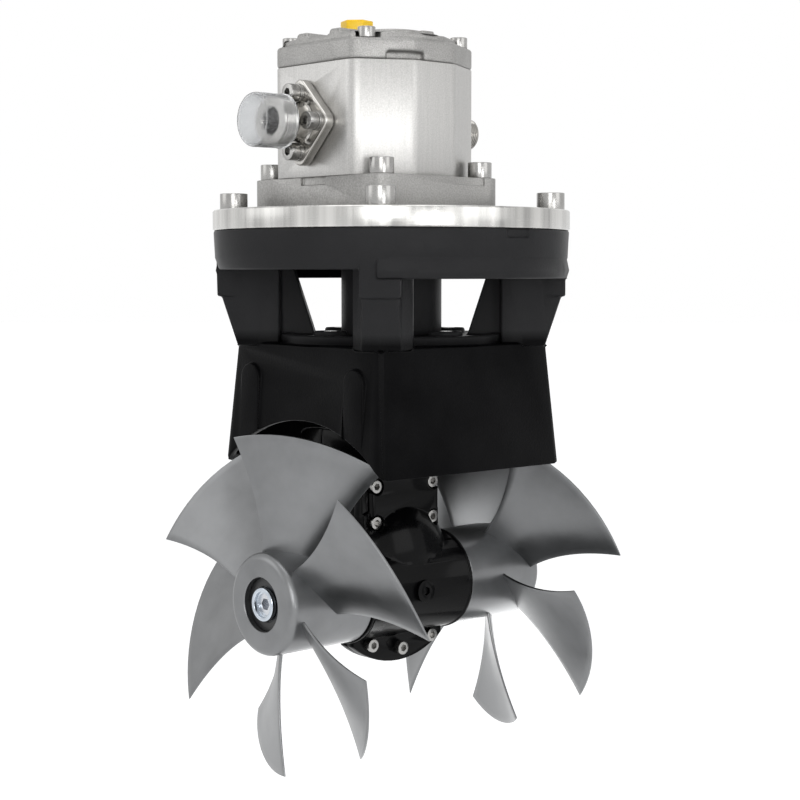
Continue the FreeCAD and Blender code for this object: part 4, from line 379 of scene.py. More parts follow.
def make_materials():
    """Build every finish once and keep it under its record slot."""
    tone = colours()
    MATERIALS.update({
        "bracket_paint": painted_casting(),
        "guard_steel": painted_casting(),
        "leg_paint": leg_enamel(),
        "turned_plate": turned_aluminium(),
        "motor_extrusion": extruded_aluminium(),
        "cast_cover": blasted_casting(),
        "port_steel": plain_metal("zinc_plated_steel", tuple(tone.port), 0.2, 1.5, 0.02),
        "screw_steel": plain_metal("stainless_steel", tuple(tone.steel), 0.24, 0.8, 0.02),
        "propeller_metal": propeller_alloy(),
        "shaft_steel": plain_metal("ground_stainless", shade("#c4c6ca"), 0.2, 0.6, 0.01),
        "nut_chrome": plain_metal("chromed_steel", shade("#b9c0c8"), 0.12, 2.0, 0.01, 0.03),
        "stem_alloy": plain_metal("machined_aluminium", shade("#c6c6c3"), 0.3, 0.8, 0.02),
        "bearing_steel": plain_metal("bearing_steel", shade("#cfcfd0"), 0.16, 1.0, 0.01),
        "gear_steel": plain_metal("hardened_gear_steel", shade("#8e8f92"), 0.28, 0.8, 0.02),
        "hub_steel": plain_metal("machined_grey_iron", shade("#6c6d70"), 0.36, 0.7, 0.03),
        "block_alloy": plain_metal("bearing_block_alloy", shade("#b9b8b1"), 0.32, 0.9, 0.02),
        "seal_rubber": moulded("nitrile_rubber", shade("#161617"), 0.55),
        "spider_rubber": moulded("cast_polyurethane", shade("#b02c1c"), 0.42),
        "insert_plastic": moulded("black_acetal", shade("#0d0d0e"), 0.38),
        "plug_plastic": moulded("yellow_polyethylene", tuple(tone.plug), 0.34),
        "cap_plastic": clear_cap_plastic(),
    })


# Tools for modelling

def pick(*pieces):
    """Select only these pieces; the first becomes active."""
    if bpy.context.object and bpy.context.object.mode != "OBJECT":
        bpy.ops.object.mode_set(mode="OBJECT")
    bpy.ops.object.select_all(action="DESELECT")
    for piece in pieces:
        piece.select_set(True)
    bpy.context.view_layer.objects.active = pieces[0]


def start_fresh():
    """Leave nothing selected before a primitive is added."""
    bpy.ops.object.select_all(action="DESELECT")


def apply_modifiers(piece):
    """Apply every modifier in order."""
    pick(piece)
    for name in [modifier.name for modifier in piece.modifiers]:
        bpy.ops.object.modifier_apply(modifier=name)


def smooth(piece, degrees=32.0):
    """Smooth shading that keeps edges sharper than the angle."""
    pick(piece)
    bpy.ops.object.shade_smooth_by_angle(angle=math.radians(degrees))


def soften(piece, width, segments=2, degrees=35.0):
    """Round the piece's edges with a bevel that is applied at once."""
    bevel = piece.modifiers.new("edge", "BEVEL")
    bevel.width = width
    bevel.segments = segments
    bevel.limit_method = "ANGLE"
    bevel.angle_limit = math.radians(degrees)
    bevel.use_clamp_overlap = False
    bevel.miter_outer = "MITER_ARC"
    apply_modifiers(piece)


def settle(piece, name):
    """Apply the piece's own place and turn to its mesh, and name it."""
    pick(piece)
    bpy.ops.object.transform_apply(location=True, rotation=True, scale=True)
    piece.name = name
    piece.data.name = name


def recalculate(piece, distance=1e-6):
    """Merge doubles and point every face outwards."""
    pick(piece)
    bpy.ops.object.mode_set(mode="EDIT")
    bpy.ops.mesh.select_all(action="SELECT")
    bpy.ops.mesh.remove_doubles(threshold=distance)
    bpy.ops.mesh.normals_make_consistent(inside=False)
    bpy.ops.object.mode_set(mode="OBJECT")


def join(pieces, name):
    """Join several pieces into one."""
    pick(*pieces)
    if len(pieces) > 1:
        bpy.ops.object.join()
    piece = bpy.context.object
    piece.name = name
    piece.data.name = name
    return piece


def declare(piece, body, slot, *nodes):
    """Give a finished piece the material of its slot, put it under its body, and hide the solids
    it stands for.
    """
    piece.data.materials.clear()
    piece.data.materials.append(MATERIALS[slot])
    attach(piece, body)
    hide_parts(*nodes)


def copy_of(piece, matrix):
    """A copy with its own mesh, moved by a matrix that is applied to the mesh."""
    twin = piece.copy()
    twin.data = piece.data.copy()
    bpy.context.scene.collection.objects.link(twin)
    twin.data.transform(matrix)
    return twin


def remove(piece):
    """Delete a template that has been copied."""
    bpy.data.objects.remove(piece, do_unlink=True)


def aim(axis):
    """Rotation that takes local +Z to a signed axis such as "-y"."""
    target = Vector([0, 0, 0])
    target["xyz".index(axis[1])] = 1 if axis[0] == "+" else -1
    return Vector((0, 0, 1)).rotation_difference(target).to_matrix().to_4x4()


def lathe(profile, steps=96):
    """Extrude and scale a circle along (radius, height) points in millimetres."""
    start_fresh()
    radius, height = profile[0]
    bpy.ops.mesh.primitive_circle_add(vertices=steps, radius=radius * MM,
                                      location=(0, 0, height * MM))
    piece = bpy.context.object
    settle(piece, "turned")
    bpy.ops.object.mode_set(mode="EDIT")
    bpy.ops.mesh.select_mode(type="EDGE")
    bpy.ops.mesh.select_all(action="SELECT")
    for next_radius, next_height in profile[1:]:
        rise = (0, 0, (next_height - height) * MM)
        bpy.ops.mesh.extrude_edges_move(TRANSFORM_OT_translate={"value": rise})
        factor = next_radius / radius
        bpy.ops.transform.resize(value=(factor, factor, 1.0),
                                 center_override=(0, 0, next_height * MM))
        radius, height = next_radius, next_height
    bpy.ops.object.mode_set(mode="OBJECT")
    return piece


def turned(name, profile, edge, axis="+z", steps=96):
    """A closed turned piece along an axis, its edges broken by a width in millimetres."""
    piece = lathe(profile, steps)
    recalculate(piece)
    soften(piece, edge * MM, 2, 25.0)
    piece.data.transform(aim(axis))
    recalculate(piece)
    smooth(piece, 30.0)
    piece.name = name
    piece.data.name = name
    return piece


def subtract(piece, cutter):
    """Cut one piece from another and delete the cutter."""
    boolean = piece.modifiers.new("cut", "BOOLEAN")
    boolean.operation = "DIFFERENCE"
    boolean.object = cutter
    apply_modifiers(piece)
    remove(cutter)


def quarter(x, y, radius, steps):
    """A quarter circle that rounds the corner (x, y), from its side up to its top."""
    points = []
    for step in range(steps + 1):
        angle = math.radians(90.0 * step / steps)
        points.append((x - radius + radius * math.cos(angle),
                       y - radius + radius * math.sin(angle)))
    return points


def prism(sides, radius, low, high, turn=0.0):
    """An upright prism or cylinder between two heights, in millimetres."""
    start_fresh()
    bpy.ops.mesh.primitive_cylinder_add(vertices=sides, radius=radius * MM,
                                        depth=(high - low) * MM,
                                        location=(0, 0, (low + high) / 2 * MM),
                                        rotation=(0, 0, turn))
    piece = bpy.context.object
    settle(piece, "prism")
    return piece


def level_side(point):
    """Put a point of the saddle's faint side bulges back on the sloping side."""
    across, along, height = (abs(value) / MM for value in point)
    slope = (SADDLE_HALF_BOTTOM - SADDLE_HALF_TOP) / (SADDLE_TOP - SADDLE_BOTTOM)
    plane = SADDLE_HALF_TOP + (SADDLE_TOP - height) * slope
    inside = BULGE_LOW < height < BULGE_HIGH and along < BULGE_REACH
    if inside and plane - 0.01 < across < BULGE_OUTSIDE:
        point.x = math.copysign(plane * MM, point.x)


def soft_copy(node, slot, width, segments=2, press=None):
    """Put a copy in a solid's place, with its flat faces merged and edges rounded."""
    mesh = frame["nodes"][node].data.copy()
    piece = bpy.data.objects.new(node + "_finished", mesh)
    bpy.context.scene.collection.objects.link(piece)
    if press:
        for vertex in mesh.vertices:
            press(vertex.co)
    recalculate(piece, 2e-6)
    bpy.ops.object.mode_set(mode="EDIT")
    bpy.ops.mesh.select_all(action="SELECT")
    bpy.ops.mesh.dissolve_limited(angle_limit=math.radians(0.6))
    bpy.ops.object.mode_set(mode="OBJECT")
    if width:
        soften(piece, width, segments)
    smooth(piece)
    piece.data.name = piece.name
    declare(piece, node_body(node), slot, node)


def node_body(node):
    """The body a solid belongs to."""
    for body, members in frame["record"]["behaviour"]["bodies"].items():
        if node in members:
            return body
    raise ValueError("no body holds " + node)


def node_slot(node):
    """The record slot of a solid."""
    for entry in frame["record"]["subparts"]:
        if entry["node"] == node:
            return entry["material_slot"]
    raise ValueError("no slot for " + node)


# Screws and nuts

# Radius of the plate's bolt circle, and half sides of the motor's bolt patterns
PLATE_BOLTS = 120.0
FLANGE_BOLTS = (64.05, 49.2)
COVER_BOLTS = (44.0, 46.0)

# Height of a socket's floor as a share of its head
SOCKET_FLOOR = 0.42

# Each screw is turned this much further than the one before, in degrees
SCREW_TURN = 17.0

# Head radius and height, shank radius and length, and the socket's corner radius
PLATE_SCREW = (10.5, 13.5, 7.0, 36.0, 6.9)
FLANGE_SCREW = (9.0, 12.0, 6.0, 35.5, 5.8)
COVER_SCREW = (6.5, 8.0, 4.0, 112.5, 3.4)
PORT_SCREW = (6.5, 8.0, 4.0, 27.0, 3.4)
LEG_SCREW = (5.0, 6.0, 3.0, 27.0, 2.9)
CLAMP_SCREW = (8.0, 8.0, 5.0, 96.0, 4.5)

# Corner radius, bore radius, height and edge rounding
LEG_NUT = (5.8, 3.0, 5.0, 0.35)
CLAMP_NUT = (9.2, 5.0, 8.0, 0.5)

# Bore radius, outer radius and height
PORT_WASHER = (4.0, 7.0, 1.45)

# Distances of the seats from the middle plane; each port screw has two washers
PORT_SCREW_SEAT = 72.0
PORT_WASHER_SEATS = (69.0, 70.5)

# Y, Z and the seat's distance from the leg's middle plane
LEG_SCREWS = ((28.5, 51.5, 10.0), (-28.5, 51.5, 10.0), (28.5, 79.0, 10.0), (-28.5, 79.0, 10.0),
              (30.0, -41.5, 8.0), (-30.0, -41.5, 8.0), (0.0, -47.5, 8.0))


def screw_template(head_radius, head, shank, length, key):
    """A socket head screw along +Z with its seat at the origin."""
    body = prism(64, head_radius, 0, head)
    soften(body, 0.5 * MM, 3, 40.0)
    cutter = prism(6, key, head * SOCKET_FLOOR, head + 2)
    subtract(body, cutter)
    stem = prism(32, shank, -length, 0)
    return join([body, stem], "screw")


def nut_template(radius, bore, height, edge):
    """A hexagon nut along +Z with its seat at the origin."""
    nut = prism(6, radius, 0, height)
    subtract(nut, prism(32, bore, -1, height + 1))
    soften(nut, edge * MM, 2, 40.0)
    return nut


def washer_template(bore, radius, height):
    """A plain washer along +Z with its seat at the origin."""
    profile = [(bore, 0), (radius, 0), (radius, height), (bore, height), (bore, 0)]
    return turned("washer", profile, 0.2, steps=48)


def spread(template, spots, axis, name):
    """Copy a template to every spot, pointing along an axis, and join the copies."""
    turn = aim(axis)
    copies = []
    for index, spot in enumerate(spots):
        place = Matrix.Translation([value * MM for value in spot])
        spin = Matrix.Rotation(math.radians(SCREW_TURN * index), 4, "Z")
        copies.append(copy_of(template, place @ turn @ spin))
    remove(template)
    piece = join(copies, name)
    smooth(piece, 35.0)
    return piece


def cross(radius):
    """Four points on the X and Y axes."""
    return [(radius, 0), (0, radius), (-radius, 0), (0, -radius)]


def diagonal(radius):
    """Four points at 45 degrees."""
    reach = radius * math.sqrt(0.5)
    return [(reach, reach), (-reach, reach), (-reach, -reach), (reach, -reach)]


def rectangle(x, half_x, half_y):
    """Corners of a rectangle centred on (x, 0)."""
    return [(x + i * half_x, j * half_y) for i in (1, -1) for j in (1, -1)]


def port_spots(level, side):
    """Seats round a port; side is -1 for the near one."""
    return [(PORT_X + x, side * level, PORT_Z + z) for x, z in cross(PORT_BOLT_REACH)]


def fasten(template, spots, axis, name, node):
    """Put a fastener in each of its spots and let the set stand for a node."""
    declare(spread(template, spots, axis, name), ROOT, "screw_steel", node)


def make_port_fasteners():
    """Screws and washers of both ports."""
    screws = []
    rings = []
    for side, axis, name in ((-1, "-y", "near_port_screws"), (1, "+y", "far_port_screws")):
        screws.append(spread(screw_template(*PORT_SCREW), port_spots(PORT_SCREW_SEAT, side),
                             axis, name))
        for level in PORT_WASHER_SEATS:
            rings.append(spread(washer_template(*PORT_WASHER), port_spots(level, side),
                                axis, "ring"))
    declare(join(screws, "port_screws"), ROOT, "screw_steel", "port_bolts")
    declare(join(rings, "port_rings"), ROOT, "screw_steel", "port_washers")


def make_screws():
    """All visible socket screws, washers and nuts."""
    spots = [(x, y, PLATE_TOP) for x, y in diagonal(PLATE_BOLTS)]
    fasten(screw_template(*PLATE_SCREW), spots, "+z", "plate_screws", "plate_bolts")
    spots = [(x, y, FLANGE_TOP) for x, y in rectangle(MOTOR_X, *FLANGE_BOLTS)]
    fasten(screw_template(*FLANGE_SCREW), spots, "+z", "flange_screws", "flange_bolts")
    spots = [(x, y, COVER_TOP) for x, y in rectangle(MOTOR_X, *COVER_BOLTS)]
    fasten(screw_template(*COVER_SCREW), spots, "+z", "cover_screws", "motor_body_bolts")
    make_port_fasteners()
    spots = [(x, y, z) for y, z, x in LEG_SCREWS]
    fasten(screw_template(*LEG_SCREW), spots, "+x", "leg_screw_heads", "leg_screws")
    spots = [(-x, y, z) for y, z, x in LEG_SCREWS]
    fasten(nut_template(*LEG_NUT), spots, "-x", "leg_hex_nuts", "leg_nuts")
    spots = [(x, y, STUD_SEAT) for x, y in cross(STUD_CIRCLE)]
    fasten(screw_template(*CLAMP_SCREW), spots, "-z", "clamp_screws", "clamp_bolts")
    spots = [(x, y, STUD_NUT_SEAT) for x, y in cross(STUD_CIRCLE)]
    fasten(nut_template(*CLAMP_NUT), spots, "+z", "clamp_hex_nuts", "clamp_nuts")


# Propellers

# A blade stands up along Z; its half chord runs along X and its half width along Y
BLADE_TIP_ANGLE = math.radians(25.35)
BLADE_TIP_CHORD = TIP_RADIUS * math.sin(BLADE_TIP_ANGLE)
BLADE_TIP_WIDTH = 27.3
BLADE_TIP_LEVEL = TIP_RADIUS * math.cos(BLADE_TIP_ANGLE)
BLADE_ROOT_CHORD = 17.7
BLADE_ROOT_WIDTH = 16.0
BLADE_ROOT_LEVEL = 33.75
BLADE_LOW = 29.0
BLADE_MIDDLE = HUB_INNER + 49.3
BLADE_HOLLOW = 24.0
BLADE_CAMBER = 2.5
BLADE_ROUNDING = 0.45

# Thickness at a blade's edges as a share of that at its middle
BLADE_EDGE = 0.42

# Turn of each propeller's first blade about its shaft, in degrees
NEAR_TURN = -11.45
FAR_TURN = -6.06


def blade_sizes(height):
    """Half chord, half width and share of the span at a height."""
    share = (height - BLADE_ROOT_LEVEL) / (BLADE_TIP_LEVEL - BLADE_ROOT_LEVEL)
    hollow = BLADE_HOLLOW * share * (1 - share)
    chord = BLADE_ROOT_CHORD + (BLADE_TIP_CHORD - BLADE_ROOT_CHORD) * share - hollow
    width = BLADE_ROOT_WIDTH + (BLADE_TIP_WIDTH - BLADE_ROOT_WIDTH) * share - hollow * 0.25
    return chord, width, share


def blade_point(across, along):
    """Point on a blade's middle surface; across runs -1 to 1, along runs 0 to 1."""
    # The outline is round, so how far it reaches depends on the chord found there
    reach = TIP_RADIUS
    for _ in range(12):
        chord = blade_sizes(reach)[0]
        reach = math.sqrt(max(1.0, TIP_RADIUS ** 2 - (across * chord) ** 2))
    height = BLADE_LOW + (reach - BLADE_LOW) * along
    chord, width, share = blade_sizes(height)
    length = math.hypot(chord, width)
    camber = BLADE_CAMBER * (0.4 + share) * (1 - across * across)
    x = across * chord - camber * width / length
    y = BLADE_MIDDLE + across * width + camber * chord / length
    return Vector((x * MM, y * MM, height * MM))


def blade():
    """One blade, grown from a grid, given its thickness and rounded edges."""
    start_fresh()
    bpy.ops.mesh.primitive_grid_add(x_subdivisions=14, y_subdivisions=18, size=2.0)
    piece = bpy.context.object
    group = piece.vertex_groups.new(name="thick")
    root = sizes().blade_root
    tip = sizes().blade_tip
    for vertex in piece.data.vertices:
        across = vertex.co.x
        along = (vertex.co.y + 1) / 2
        local = root + (tip - root) * along
        local = local * (BLADE_EDGE + (1 - BLADE_EDGE) * (1 - across * across))
        group.add([vertex.index], min(1.0, local / root), "REPLACE")
        vertex.co = blade_point(across, along)
    solid = piece.modifiers.new("thickness", "SOLIDIFY")
    solid.thickness = root
    solid.offset = 0.0
    solid.vertex_group = "thick"
    solid.use_even_offset = True
    rounding = piece.modifiers.new("rounding", "BEVEL")
    rounding.width = BLADE_ROUNDING * MM
    rounding.segments = 2
    rounding.limit_method = "ANGLE"
    rounding.angle_limit = math.radians(50)
    apply_modifiers(piece)
    recalculate(piece)
    return piece


def hub_profile():
    """Closed section of a propeller hub in (radius, y), from its inner rim outwards."""
    outer = [(HUB_SKIRT, HUB_INNER), (HUB_RADIUS - 0.5, HUB_INNER),
             (HUB_RADIUS, HUB_INNER + 0.5)]
    recess = [(HUB_RECESS + 0.6, HUB_OUTER), (HUB_RECESS, HUB_OUTER - 0.6),
              (HUB_RECESS, HUB_FLOOR), (HUB_BORE, HUB_FLOOR)]
    inside = [(HUB_BORE, HUB_BOSS_END), (HUB_BOSS, HUB_BOSS_END), (HUB_BOSS, HUB_WEB),
              (HUB_SKIRT, HUB_WEB), (HUB_SKIRT, HUB_INNER)]
    return outer + quarter(HUB_RADIUS, HUB_OUTER, HUB_NOSE, 6) + recess + inside


def make_propeller(name, side, turn):
    """Hub and blades of one propeller; side is -1 for the near one."""
    hub = lathe(hub_profile(), 128)
    recalculate(hub)
    hub.data.transform(aim("+y"))
    recalculate(hub)
    template = blade()
    count = sizes().blades
    pieces = [hub]
    for index in range(count):
        spin = Matrix.Rotation(math.radians(360.0 * index / count + turn), 4, "Y")
        pieces.append(copy_of(template, spin))
    remove(template)
    piece = join(pieces, name + "_finished")
    if side < 0:
        piece.data.transform(Matrix.Rotation(math.pi, 4, "Z"))
    smooth(piece, 38.0)
    declare(piece, "propeller_set", "propeller_metal", name)


# Closed sections in (radius, y)
SHAFT_NUT = ((8.0, HUB_FLOOR), (12.4, HUB_FLOOR), (12.4, 124.4), (11.8, 125.0), (9.6, 125.0),
             (9.25, 124.6), (9.25, 122.6), (8.0, 122.6), (8.0, HUB_FLOOR))
HUB_INSERT = ((12.9, HUB_FLOOR), (19.75, HUB_FLOOR), (19.75, 120.6), (19.2, 121.0),
              (13.3, 121.0), (12.9, 120.6), (12.9, HUB_FLOOR))


def make_hub_details():
    """Nuts and inserts seen in the hubs' recesses."""
    rings = []
    inserts = []
    for axis in ("-y", "+y"):
        rings.append(turned("ring", SHAFT_NUT, 0.15, axis))
        inserts.append(turned("insert", HUB_INSERT, 0.1, axis))
    declare(join(rings, "shaft_ring_nuts"), "propeller_set", "nut_chrome", "propeller_nuts")
    declare(join(inserts, "hub_recess_rings"), "propeller_set", "insert_plastic",
            "propeller_hub_inserts")


# Ports, cap and plug

# A port's square plate stands on its corner; levels are distances from the middle plane
PORT_PLATE_WIDTH = 49.0
PORT_PLATE_THICKNESS = 8.0
PORT_PLATE_LEVEL = 65.0
PORT_PLATE_CORNER = 7.5
PORT_BOLT_HOLE = 4.2
PORT_CUT = (55.0, 75.0)
PORT_NECK_LEVEL = 68.0
THREAD_DEPTH = 0.8

# From the neck to the thread's start in (radius, y), and the level of the open end
NEAR_MOUTH = ((14.0, 77.6), (14.3, 79.4), (16.3, 81.6), (18.2, 83.2), (18.5, 83.8))
NEAR_END = 95.5
FAR_MOUTH = ((14.0, 84.6), (13.7, 86.2), (12.7, 88.5), (12.5, 89.2))
FAR_END = 105.0

# The cap's inside radius, its rim and its closed end
CAP_INNER = 18.55
CAP_RIM = 84.6
CAP_END = 112.4

# The drain plug's place and its hexagon, whose thread reaches down into the cover
PLUG_X = -40.0
PLUG_RADIUS = 12.7
PLUG_SEAT = 422.0
PLUG_TOP = 431.0
PLUG_THREAD = 8.5


def thread_profile(radius, level, end):
    """Ridges of a port's outer thread between two levels, in (radius, y)."""
    pitch = sizes().thread_pitch / MM
    root = radius - THREAD_DEPTH
    points = []
    while level + pitch < end:
        points += [(root, level), (radius, level + pitch * 0.35),
                   (radius, level + pitch * 0.55), (root, level + pitch * 0.9)]
        level += pitch
    return points


def port_plate():
    """The square plate of a port, with its bolt holes and bore."""
    start_fresh()
    bpy.ops.mesh.primitive_cube_add(size=1.0)
    plate = bpy.context.object
    plate.scale = (PORT_PLATE_WIDTH * MM, PORT_PLATE_WIDTH * MM, PORT_PLATE_THICKNESS * MM)
    plate.rotation_euler = (0, 0, math.radians(45))
    plate.location = (0, 0, PORT_PLATE_LEVEL * MM)
    settle(plate, "port_plate")
    bevel_upright(plate, PORT_PLATE_CORNER)
    for x, y in cross(PORT_BOLT_REACH):
        cutter = prism(32, PORT_BOLT_HOLE, *PORT_CUT)
        cutter.data.transform(Matrix.Translation((x * MM, y * MM, 0)))
        subtract(plate, cutter)
    subtract(plate, prism(64, PORT_BORE, *PORT_CUT))
    soften(plate, 1.2 * MM, 3, 60.0)
    return plate


def to_port(piece, axis):
    """Move a piece made round +Z to a port's axis."""
    place = Matrix.Translation((PORT_X * MM, 0, PORT_Z * MM)) @ aim(axis)
    piece.data.transform(place)


def make_port(name, axis, mouth, end):
    """A port connector: plate on its corner, waisted neck and threaded mouth."""
    plate = port_plate()
    radius, start = mouth[-1]
    profile = [(PORT_BORE, PORT_NECK_LEVEL), (16.5, 68.9), (14.9, 69.8), (14.2, 71.5),
               (14.0, 74.0)]
    profile += list(mouth) + thread_profile(radius, start + 0.4, end - 0.8)
    profile += [(radius - 0.1, end - 0.8), (radius - THREAD_DEPTH, end), (10.9, end),
                (PORT_BORE, end - 0.9), (PORT_BORE, PORT_NECK_LEVEL)]
    neck = lathe(profile)
    recalculate(neck)
    piece = join([plate, neck], name + "_finished")
    to_port(piece, axis)
    smooth(piece, 35.0)
    declare(piece, ROOT, "port_steel", name)


def bevel_upright(piece, radius):
    """Round a plate's upright edges."""
    pick(piece)
    bpy.ops.object.mode_set(mode="EDIT")
    bpy.ops.mesh.select_mode(type="EDGE")
    bpy.ops.mesh.select_all(action="DESELECT")
    mesh = bmesh.from_edit_mesh(piece.data)
    for edge in mesh.edges:
        run = (edge.verts[1].co - edge.verts[0].co).normalized()
        edge.select = abs(run.z) > 0.99
    bmesh.update_edit_mesh(piece.data)
    bpy.ops.mesh.bevel(offset=radius * MM, segments=6)
    bpy.ops.object.mode_set(mode="OBJECT")


def make_cap():
    """Thin moulded cap pushed over the near port."""
    wall = sizes().cap_wall / MM
    outer = CAP_INNER + wall
    floor = CAP_END - wall
    mouth = (CAP_INNER, CAP_RIM + 0.1)
    profile = [mouth, (outer + 0.4, CAP_RIM), (outer + 0.4, CAP_RIM + 1.5), (outer, CAP_RIM + 2.1)]
    profile += quarter(outer, CAP_END, 3.0, 5) + [(0.02, CAP_END), (0.02, floor)]
    profile += quarter(CAP_INNER, floor, 1.6, 5)[::-1] + [mouth]
    piece = lathe(profile, 128)
    recalculate(piece)
    to_port(piece, "-y")
    recalculate(piece)
    smooth(piece, 40.0)
    piece.name = "push_on_cap"
    declare(piece, "port_cap_set", "cap_plastic", "port_cap")


def make_drain_plug():
    """Yellow hexagon plug with a chamfered top and its thread."""
    head = prism(6, PLUG_RADIUS, PLUG_SEAT, PLUG_TOP, math.radians(12))
    soften(head, 0.9 * MM, 3, 40.0)
    stem = prism(32, 6.4, PLUG_SEAT - PLUG_THREAD, PLUG_SEAT)
    piece = join([head, stem], "yellow_hex_plug")
    piece.data.transform(Matrix.Translation((PLUG_X * MM, 0, 0)))
    smooth(piece, 35.0)
    declare(piece, ROOT, "plug_plastic", "case_drain_plug")


# Operators

class ThrusterStep(bpy.types.Operator):
    """Base for the steps below."""

    bl_options = {"REGISTER"}


class THRUSTER_OT_finishes(ThrusterStep):
    """Build every finish and put it on the solids"""

    bl_idname = "thruster.finishes"
    bl_label = "Finishes"

    def execute(self, context):
        make_materials()
        for name, node in frame["nodes"].items():
            node.data.materials.clear()
            node.data.materials.append(MATERIALS[node_slot(name)])
        return {"FINISHED"}


class THRUSTER_OT_castings(ThrusterStep):
    """Round the edges of the bracket, leg, motor and plate"""

    bl_idname = "thruster.castings"
    bl_label = "Castings"

    def execute(self, context):
        cast = sizes().casting_edge
        cut = sizes().machined_edge
        # The bulges on the saddle's sides stand out by less than a bevel, so they go
        soft_copy("motor_bracket", "bracket_paint", cast, 3, press=level_side)
        soft_copy("drive_leg_half_front", "leg_paint", cast * 0.6)
        soft_copy("drive_leg_half_back", "leg_paint", cast * 0.6)
        soft_copy("motor_end_cover", "cast_cover", cast * 1.5, 4)
        soft_copy("motor_front_flange", "cast_cover", cut)
        soft_copy("motor_body", "motor_extrusion", cut)
        soft_copy("adaptor_plate", "turned_plate", cut * 0.5)
        soft_copy("coupling_guard", "guard_steel", cut)
        soft_copy("leg_flange_gasket", "seal_rubber", 0)
        soft_copy("oil_plugs", "leg_paint", cut * 0.5)
        return {"FINISHED"}


class THRUSTER_OT_screws(ThrusterStep):
    """Model the screws, washers and nuts"""

    bl_idname = "thruster.screws"
    bl_label = "Screws and nuts"

    def execute(self, context):
        make_screws()
        return {"FINISHED"}


class THRUSTER_OT_propellers(ThrusterStep):
    """Model both propellers and what is in their hubs"""

    bl_idname = "thruster.propellers"
    bl_label = "Propellers"

    def execute(self, context):
        make_propeller("propeller_near", -1, NEAR_TURN)
        make_propeller("propeller_far", 1, FAR_TURN)
        make_hub_details()
        return {"FINISHED"}


class THRUSTER_OT_ports(ThrusterStep):
    """Model the port connectors, cap and drain plug"""

    bl_idname = "thruster.ports"
    bl_label = "Ports"

    def execute(self, context):
        make_port("port_connector_near", "-y", NEAR_MOUTH, NEAR_END)
        make_port("port_connector_far", "+y", FAR_MOUTH, FAR_END)
        make_cap()
        make_drain_plug()
        return {"FINISHED"}


# Stage

VIEW_AZIMUTH = 48.23
VIEW_ELEVATION = 4.26
VIEW_DISTANCE = 1316.2
VIEW_LENS = 77.65

# The camera's aim: a shift to its right and a height
VIEW_SHIFT = 6.51
VIEW_HEIGHT = 141.9

# The floor's height in metres, its glow to the camera, and the light from all round
FLOOR_LEVEL = -0.36
FLOOR_GLOW = 0.62
WORLD_LIGHT = 0.5

# Name, place, width and watts; some have an aim, and a height and a cone in degrees
LAMPS = (
    ("key", (1.3, -1.35, 0.6), 0.8, 8.0),
    ("facet", (1.79, -0.54, 0.26), 0.7, 0.19, (0, 0, 0.38), 0.5, 24.0),
    ("left", (-0.9, -1.3, 0.8), 1.0, 3.2),
    ("side", (1.7, 0.5, 0.7), 1.0, 4.0),
    ("top", (0.1, -0.2, 1.7), 1.0, 5.0),
    ("under", (-0.2, 0.38, -0.3), 0.45, 1.0, (0, 0, 0)),
)


def view_axes():
    """Right, up and back directions of the camera."""
    turn = math.radians(VIEW_AZIMUTH)
    lift = math.radians(VIEW_ELEVATION)
    right = Vector((math.cos(turn), math.sin(turn), 0))
    back = Vector((math.sin(turn) * math.cos(lift), -math.cos(turn) * math.cos(lift),
                   math.sin(lift)))
    return right, back.cross(right), back


def make_camera():
    """Camera at the photograph's angle, found by fitting it to the object's edges."""
    right, up, back = view_axes()
    target = right * VIEW_SHIFT + Vector((0, 0, VIEW_HEIGHT))
    camera_data = bpy.data.cameras.new("view")
    camera_data.sensor_width = 36.0
    camera_data.lens = VIEW_LENS
    camera_data.clip_end = 20.0
    camera = bpy.data.objects.new("view", camera_data)
    bpy.context.scene.collection.objects.link(camera)
    turn = Matrix((right, up, back)).transposed().to_4x4()
    camera.matrix_world = Matrix.Translation((target + back * VIEW_DISTANCE) * MM) @ turn
    bpy.context.scene.camera = camera


def add_lamp(name, place, width, power, target=(0, 0, 0.14), tall=None, cone=180.0):
    """A soft lamp aimed at a point, square unless it is given a height."""
    data = bpy.data.lights.new(name, "AREA")
    data.shape = "RECTANGLE"
    data.size = width
    data.size_y = tall or width
    data.energy = power
    data.spread = math.radians(cone)
    lamp = bpy.data.objects.new(name, data)
    bpy.context.scene.collection.objects.link(lamp)
    away = Vector(place) - Vector(target)
    turn = away.to_track_quat("Z", "Y").to_matrix().to_4x4()
    lamp.matrix_world = Matrix.Translation(place) @ turn


def make_floor():
    """Pale floor below the hanging unit; white to the camera, and it keeps the shadow."""
    start_fresh()
    bpy.ops.mesh.primitive_plane_add(size=60.0, location=(0, 0, FLOOR_LEVEL))
    floor = bpy.context.object
    settle(floor, "floor")
    material, tree, shader = new_material("pale_floor", shade("#f4f4f4"), 0.0, 0.8)
    seen = seen_directly(tree)
    lift = add_node(tree, "ShaderNodeMath", {"operation": "MULTIPLY", 1: FLOOR_GLOW},
                    {0: seen.outputs[0]})
    shader.inputs["Emission Color"].default_value = shade("#ffffff")
    tree.links.new(lift.outputs[0], shader.inputs["Emission Strength"])
    floor.data.materials.append(material)


def seen_directly(tree):
    """One for rays from the camera, or that passed a mirror or clear plastic on their way."""
    path = add_node(tree, "ShaderNodeLightPath")
    either = add_node(tree, "ShaderNodeMath", {"operation": "MAXIMUM"},
                      {0: path.outputs["Is Camera Ray"], 1: path.outputs["Is Transmission Ray"]})
    return add_node(tree, "ShaderNodeMath", {"operation": "MAXIMUM"},
                    {0: either.outputs[0], 1: path.outputs["Is Glossy Ray"]})


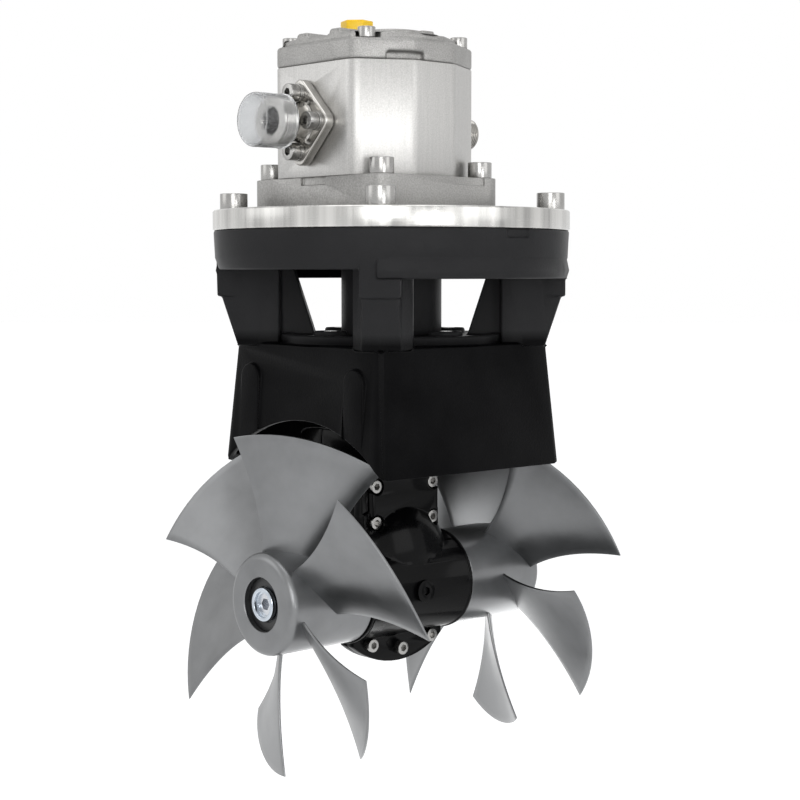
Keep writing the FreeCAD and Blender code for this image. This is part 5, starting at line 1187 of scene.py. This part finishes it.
def make_world():
    """White to the camera and to reflections, softer as light."""
    world = bpy.data.worlds.new("studio")
    world.use_nodes = True
    tree = world.node_tree
    tree.nodes.clear()
    seen = seen_directly(tree)
    soft = add_node(tree, "ShaderNodeBackground",
                    {"Color": shade("#f0f1f3"), "Strength": WORLD_LIGHT})
    white = add_node(tree, "ShaderNodeBackground", {"Color": shade("#ffffff"), "Strength": 1.0})
    mixed = add_node(tree, "ShaderNodeMixShader",
                     links={0: seen.outputs[0], 1: soft.outputs[0], 2: white.outputs[0]})
    add_node(tree, "ShaderNodeOutputWorld", links={"Surface": mixed.outputs[0]})
    bpy.context.scene.world = world


class THRUSTER_OT_stage(ThrusterStep):
    """Set the camera, lamps, floor and background"""

    bl_idname = "thruster.stage"
    bl_label = "Stage"

    def execute(self, context):
        make_camera()
        make_world()
        make_floor()
        for lamp in LAMPS:
            add_lamp(*lamp)
        bpy.context.scene.view_settings.view_transform = "Standard"
        return {"FINISHED"}


# Add-on

STEPS = (THRUSTER_OT_finishes, THRUSTER_OT_castings, THRUSTER_OT_screws,
         THRUSTER_OT_propellers, THRUSTER_OT_ports, THRUSTER_OT_stage)


class THRUSTER_PT_panel(bpy.types.Panel):
    """Lists the steps and settings in the sidebar"""

    bl_label = "Bow thruster"
    bl_idname = "THRUSTER_PT_panel"
    bl_space_type = "VIEW_3D"
    bl_region_type = "UI"
    bl_category = "Thruster"

    def draw(self, context):
        for step in STEPS:
            self.layout.operator(step.bl_idname)
        for group in (context.scene.thruster_sizes, context.scene.thruster_colours):
            for name in group.__annotations__:
                self.layout.prop(group, name)


CLASSES = (ThrusterSizes, ThrusterColours) + STEPS + (THRUSTER_PT_panel,)


def register():
    """Register the classes and the scene's settings."""
    for item in CLASSES:
        bpy.utils.register_class(item)
    bpy.types.Scene.thruster_sizes = PointerProperty(type=ThrusterSizes)
    bpy.types.Scene.thruster_colours = PointerProperty(type=ThrusterColours)


def unregister():
    """Take the settings and classes away again."""
    del bpy.types.Scene.thruster_colours
    del bpy.types.Scene.thruster_sizes
    for item in reversed(CLASSES):
        bpy.utils.unregister_class(item)


def main():
    """Run every step in order."""
    register()
    bpy.ops.thruster.finishes()
    bpy.ops.thruster.castings()
    bpy.ops.thruster.screws()
    bpy.ops.thruster.propellers()
    bpy.ops.thruster.ports()
    bpy.ops.thruster.stage()


if __name__ == "__main__":
    main()
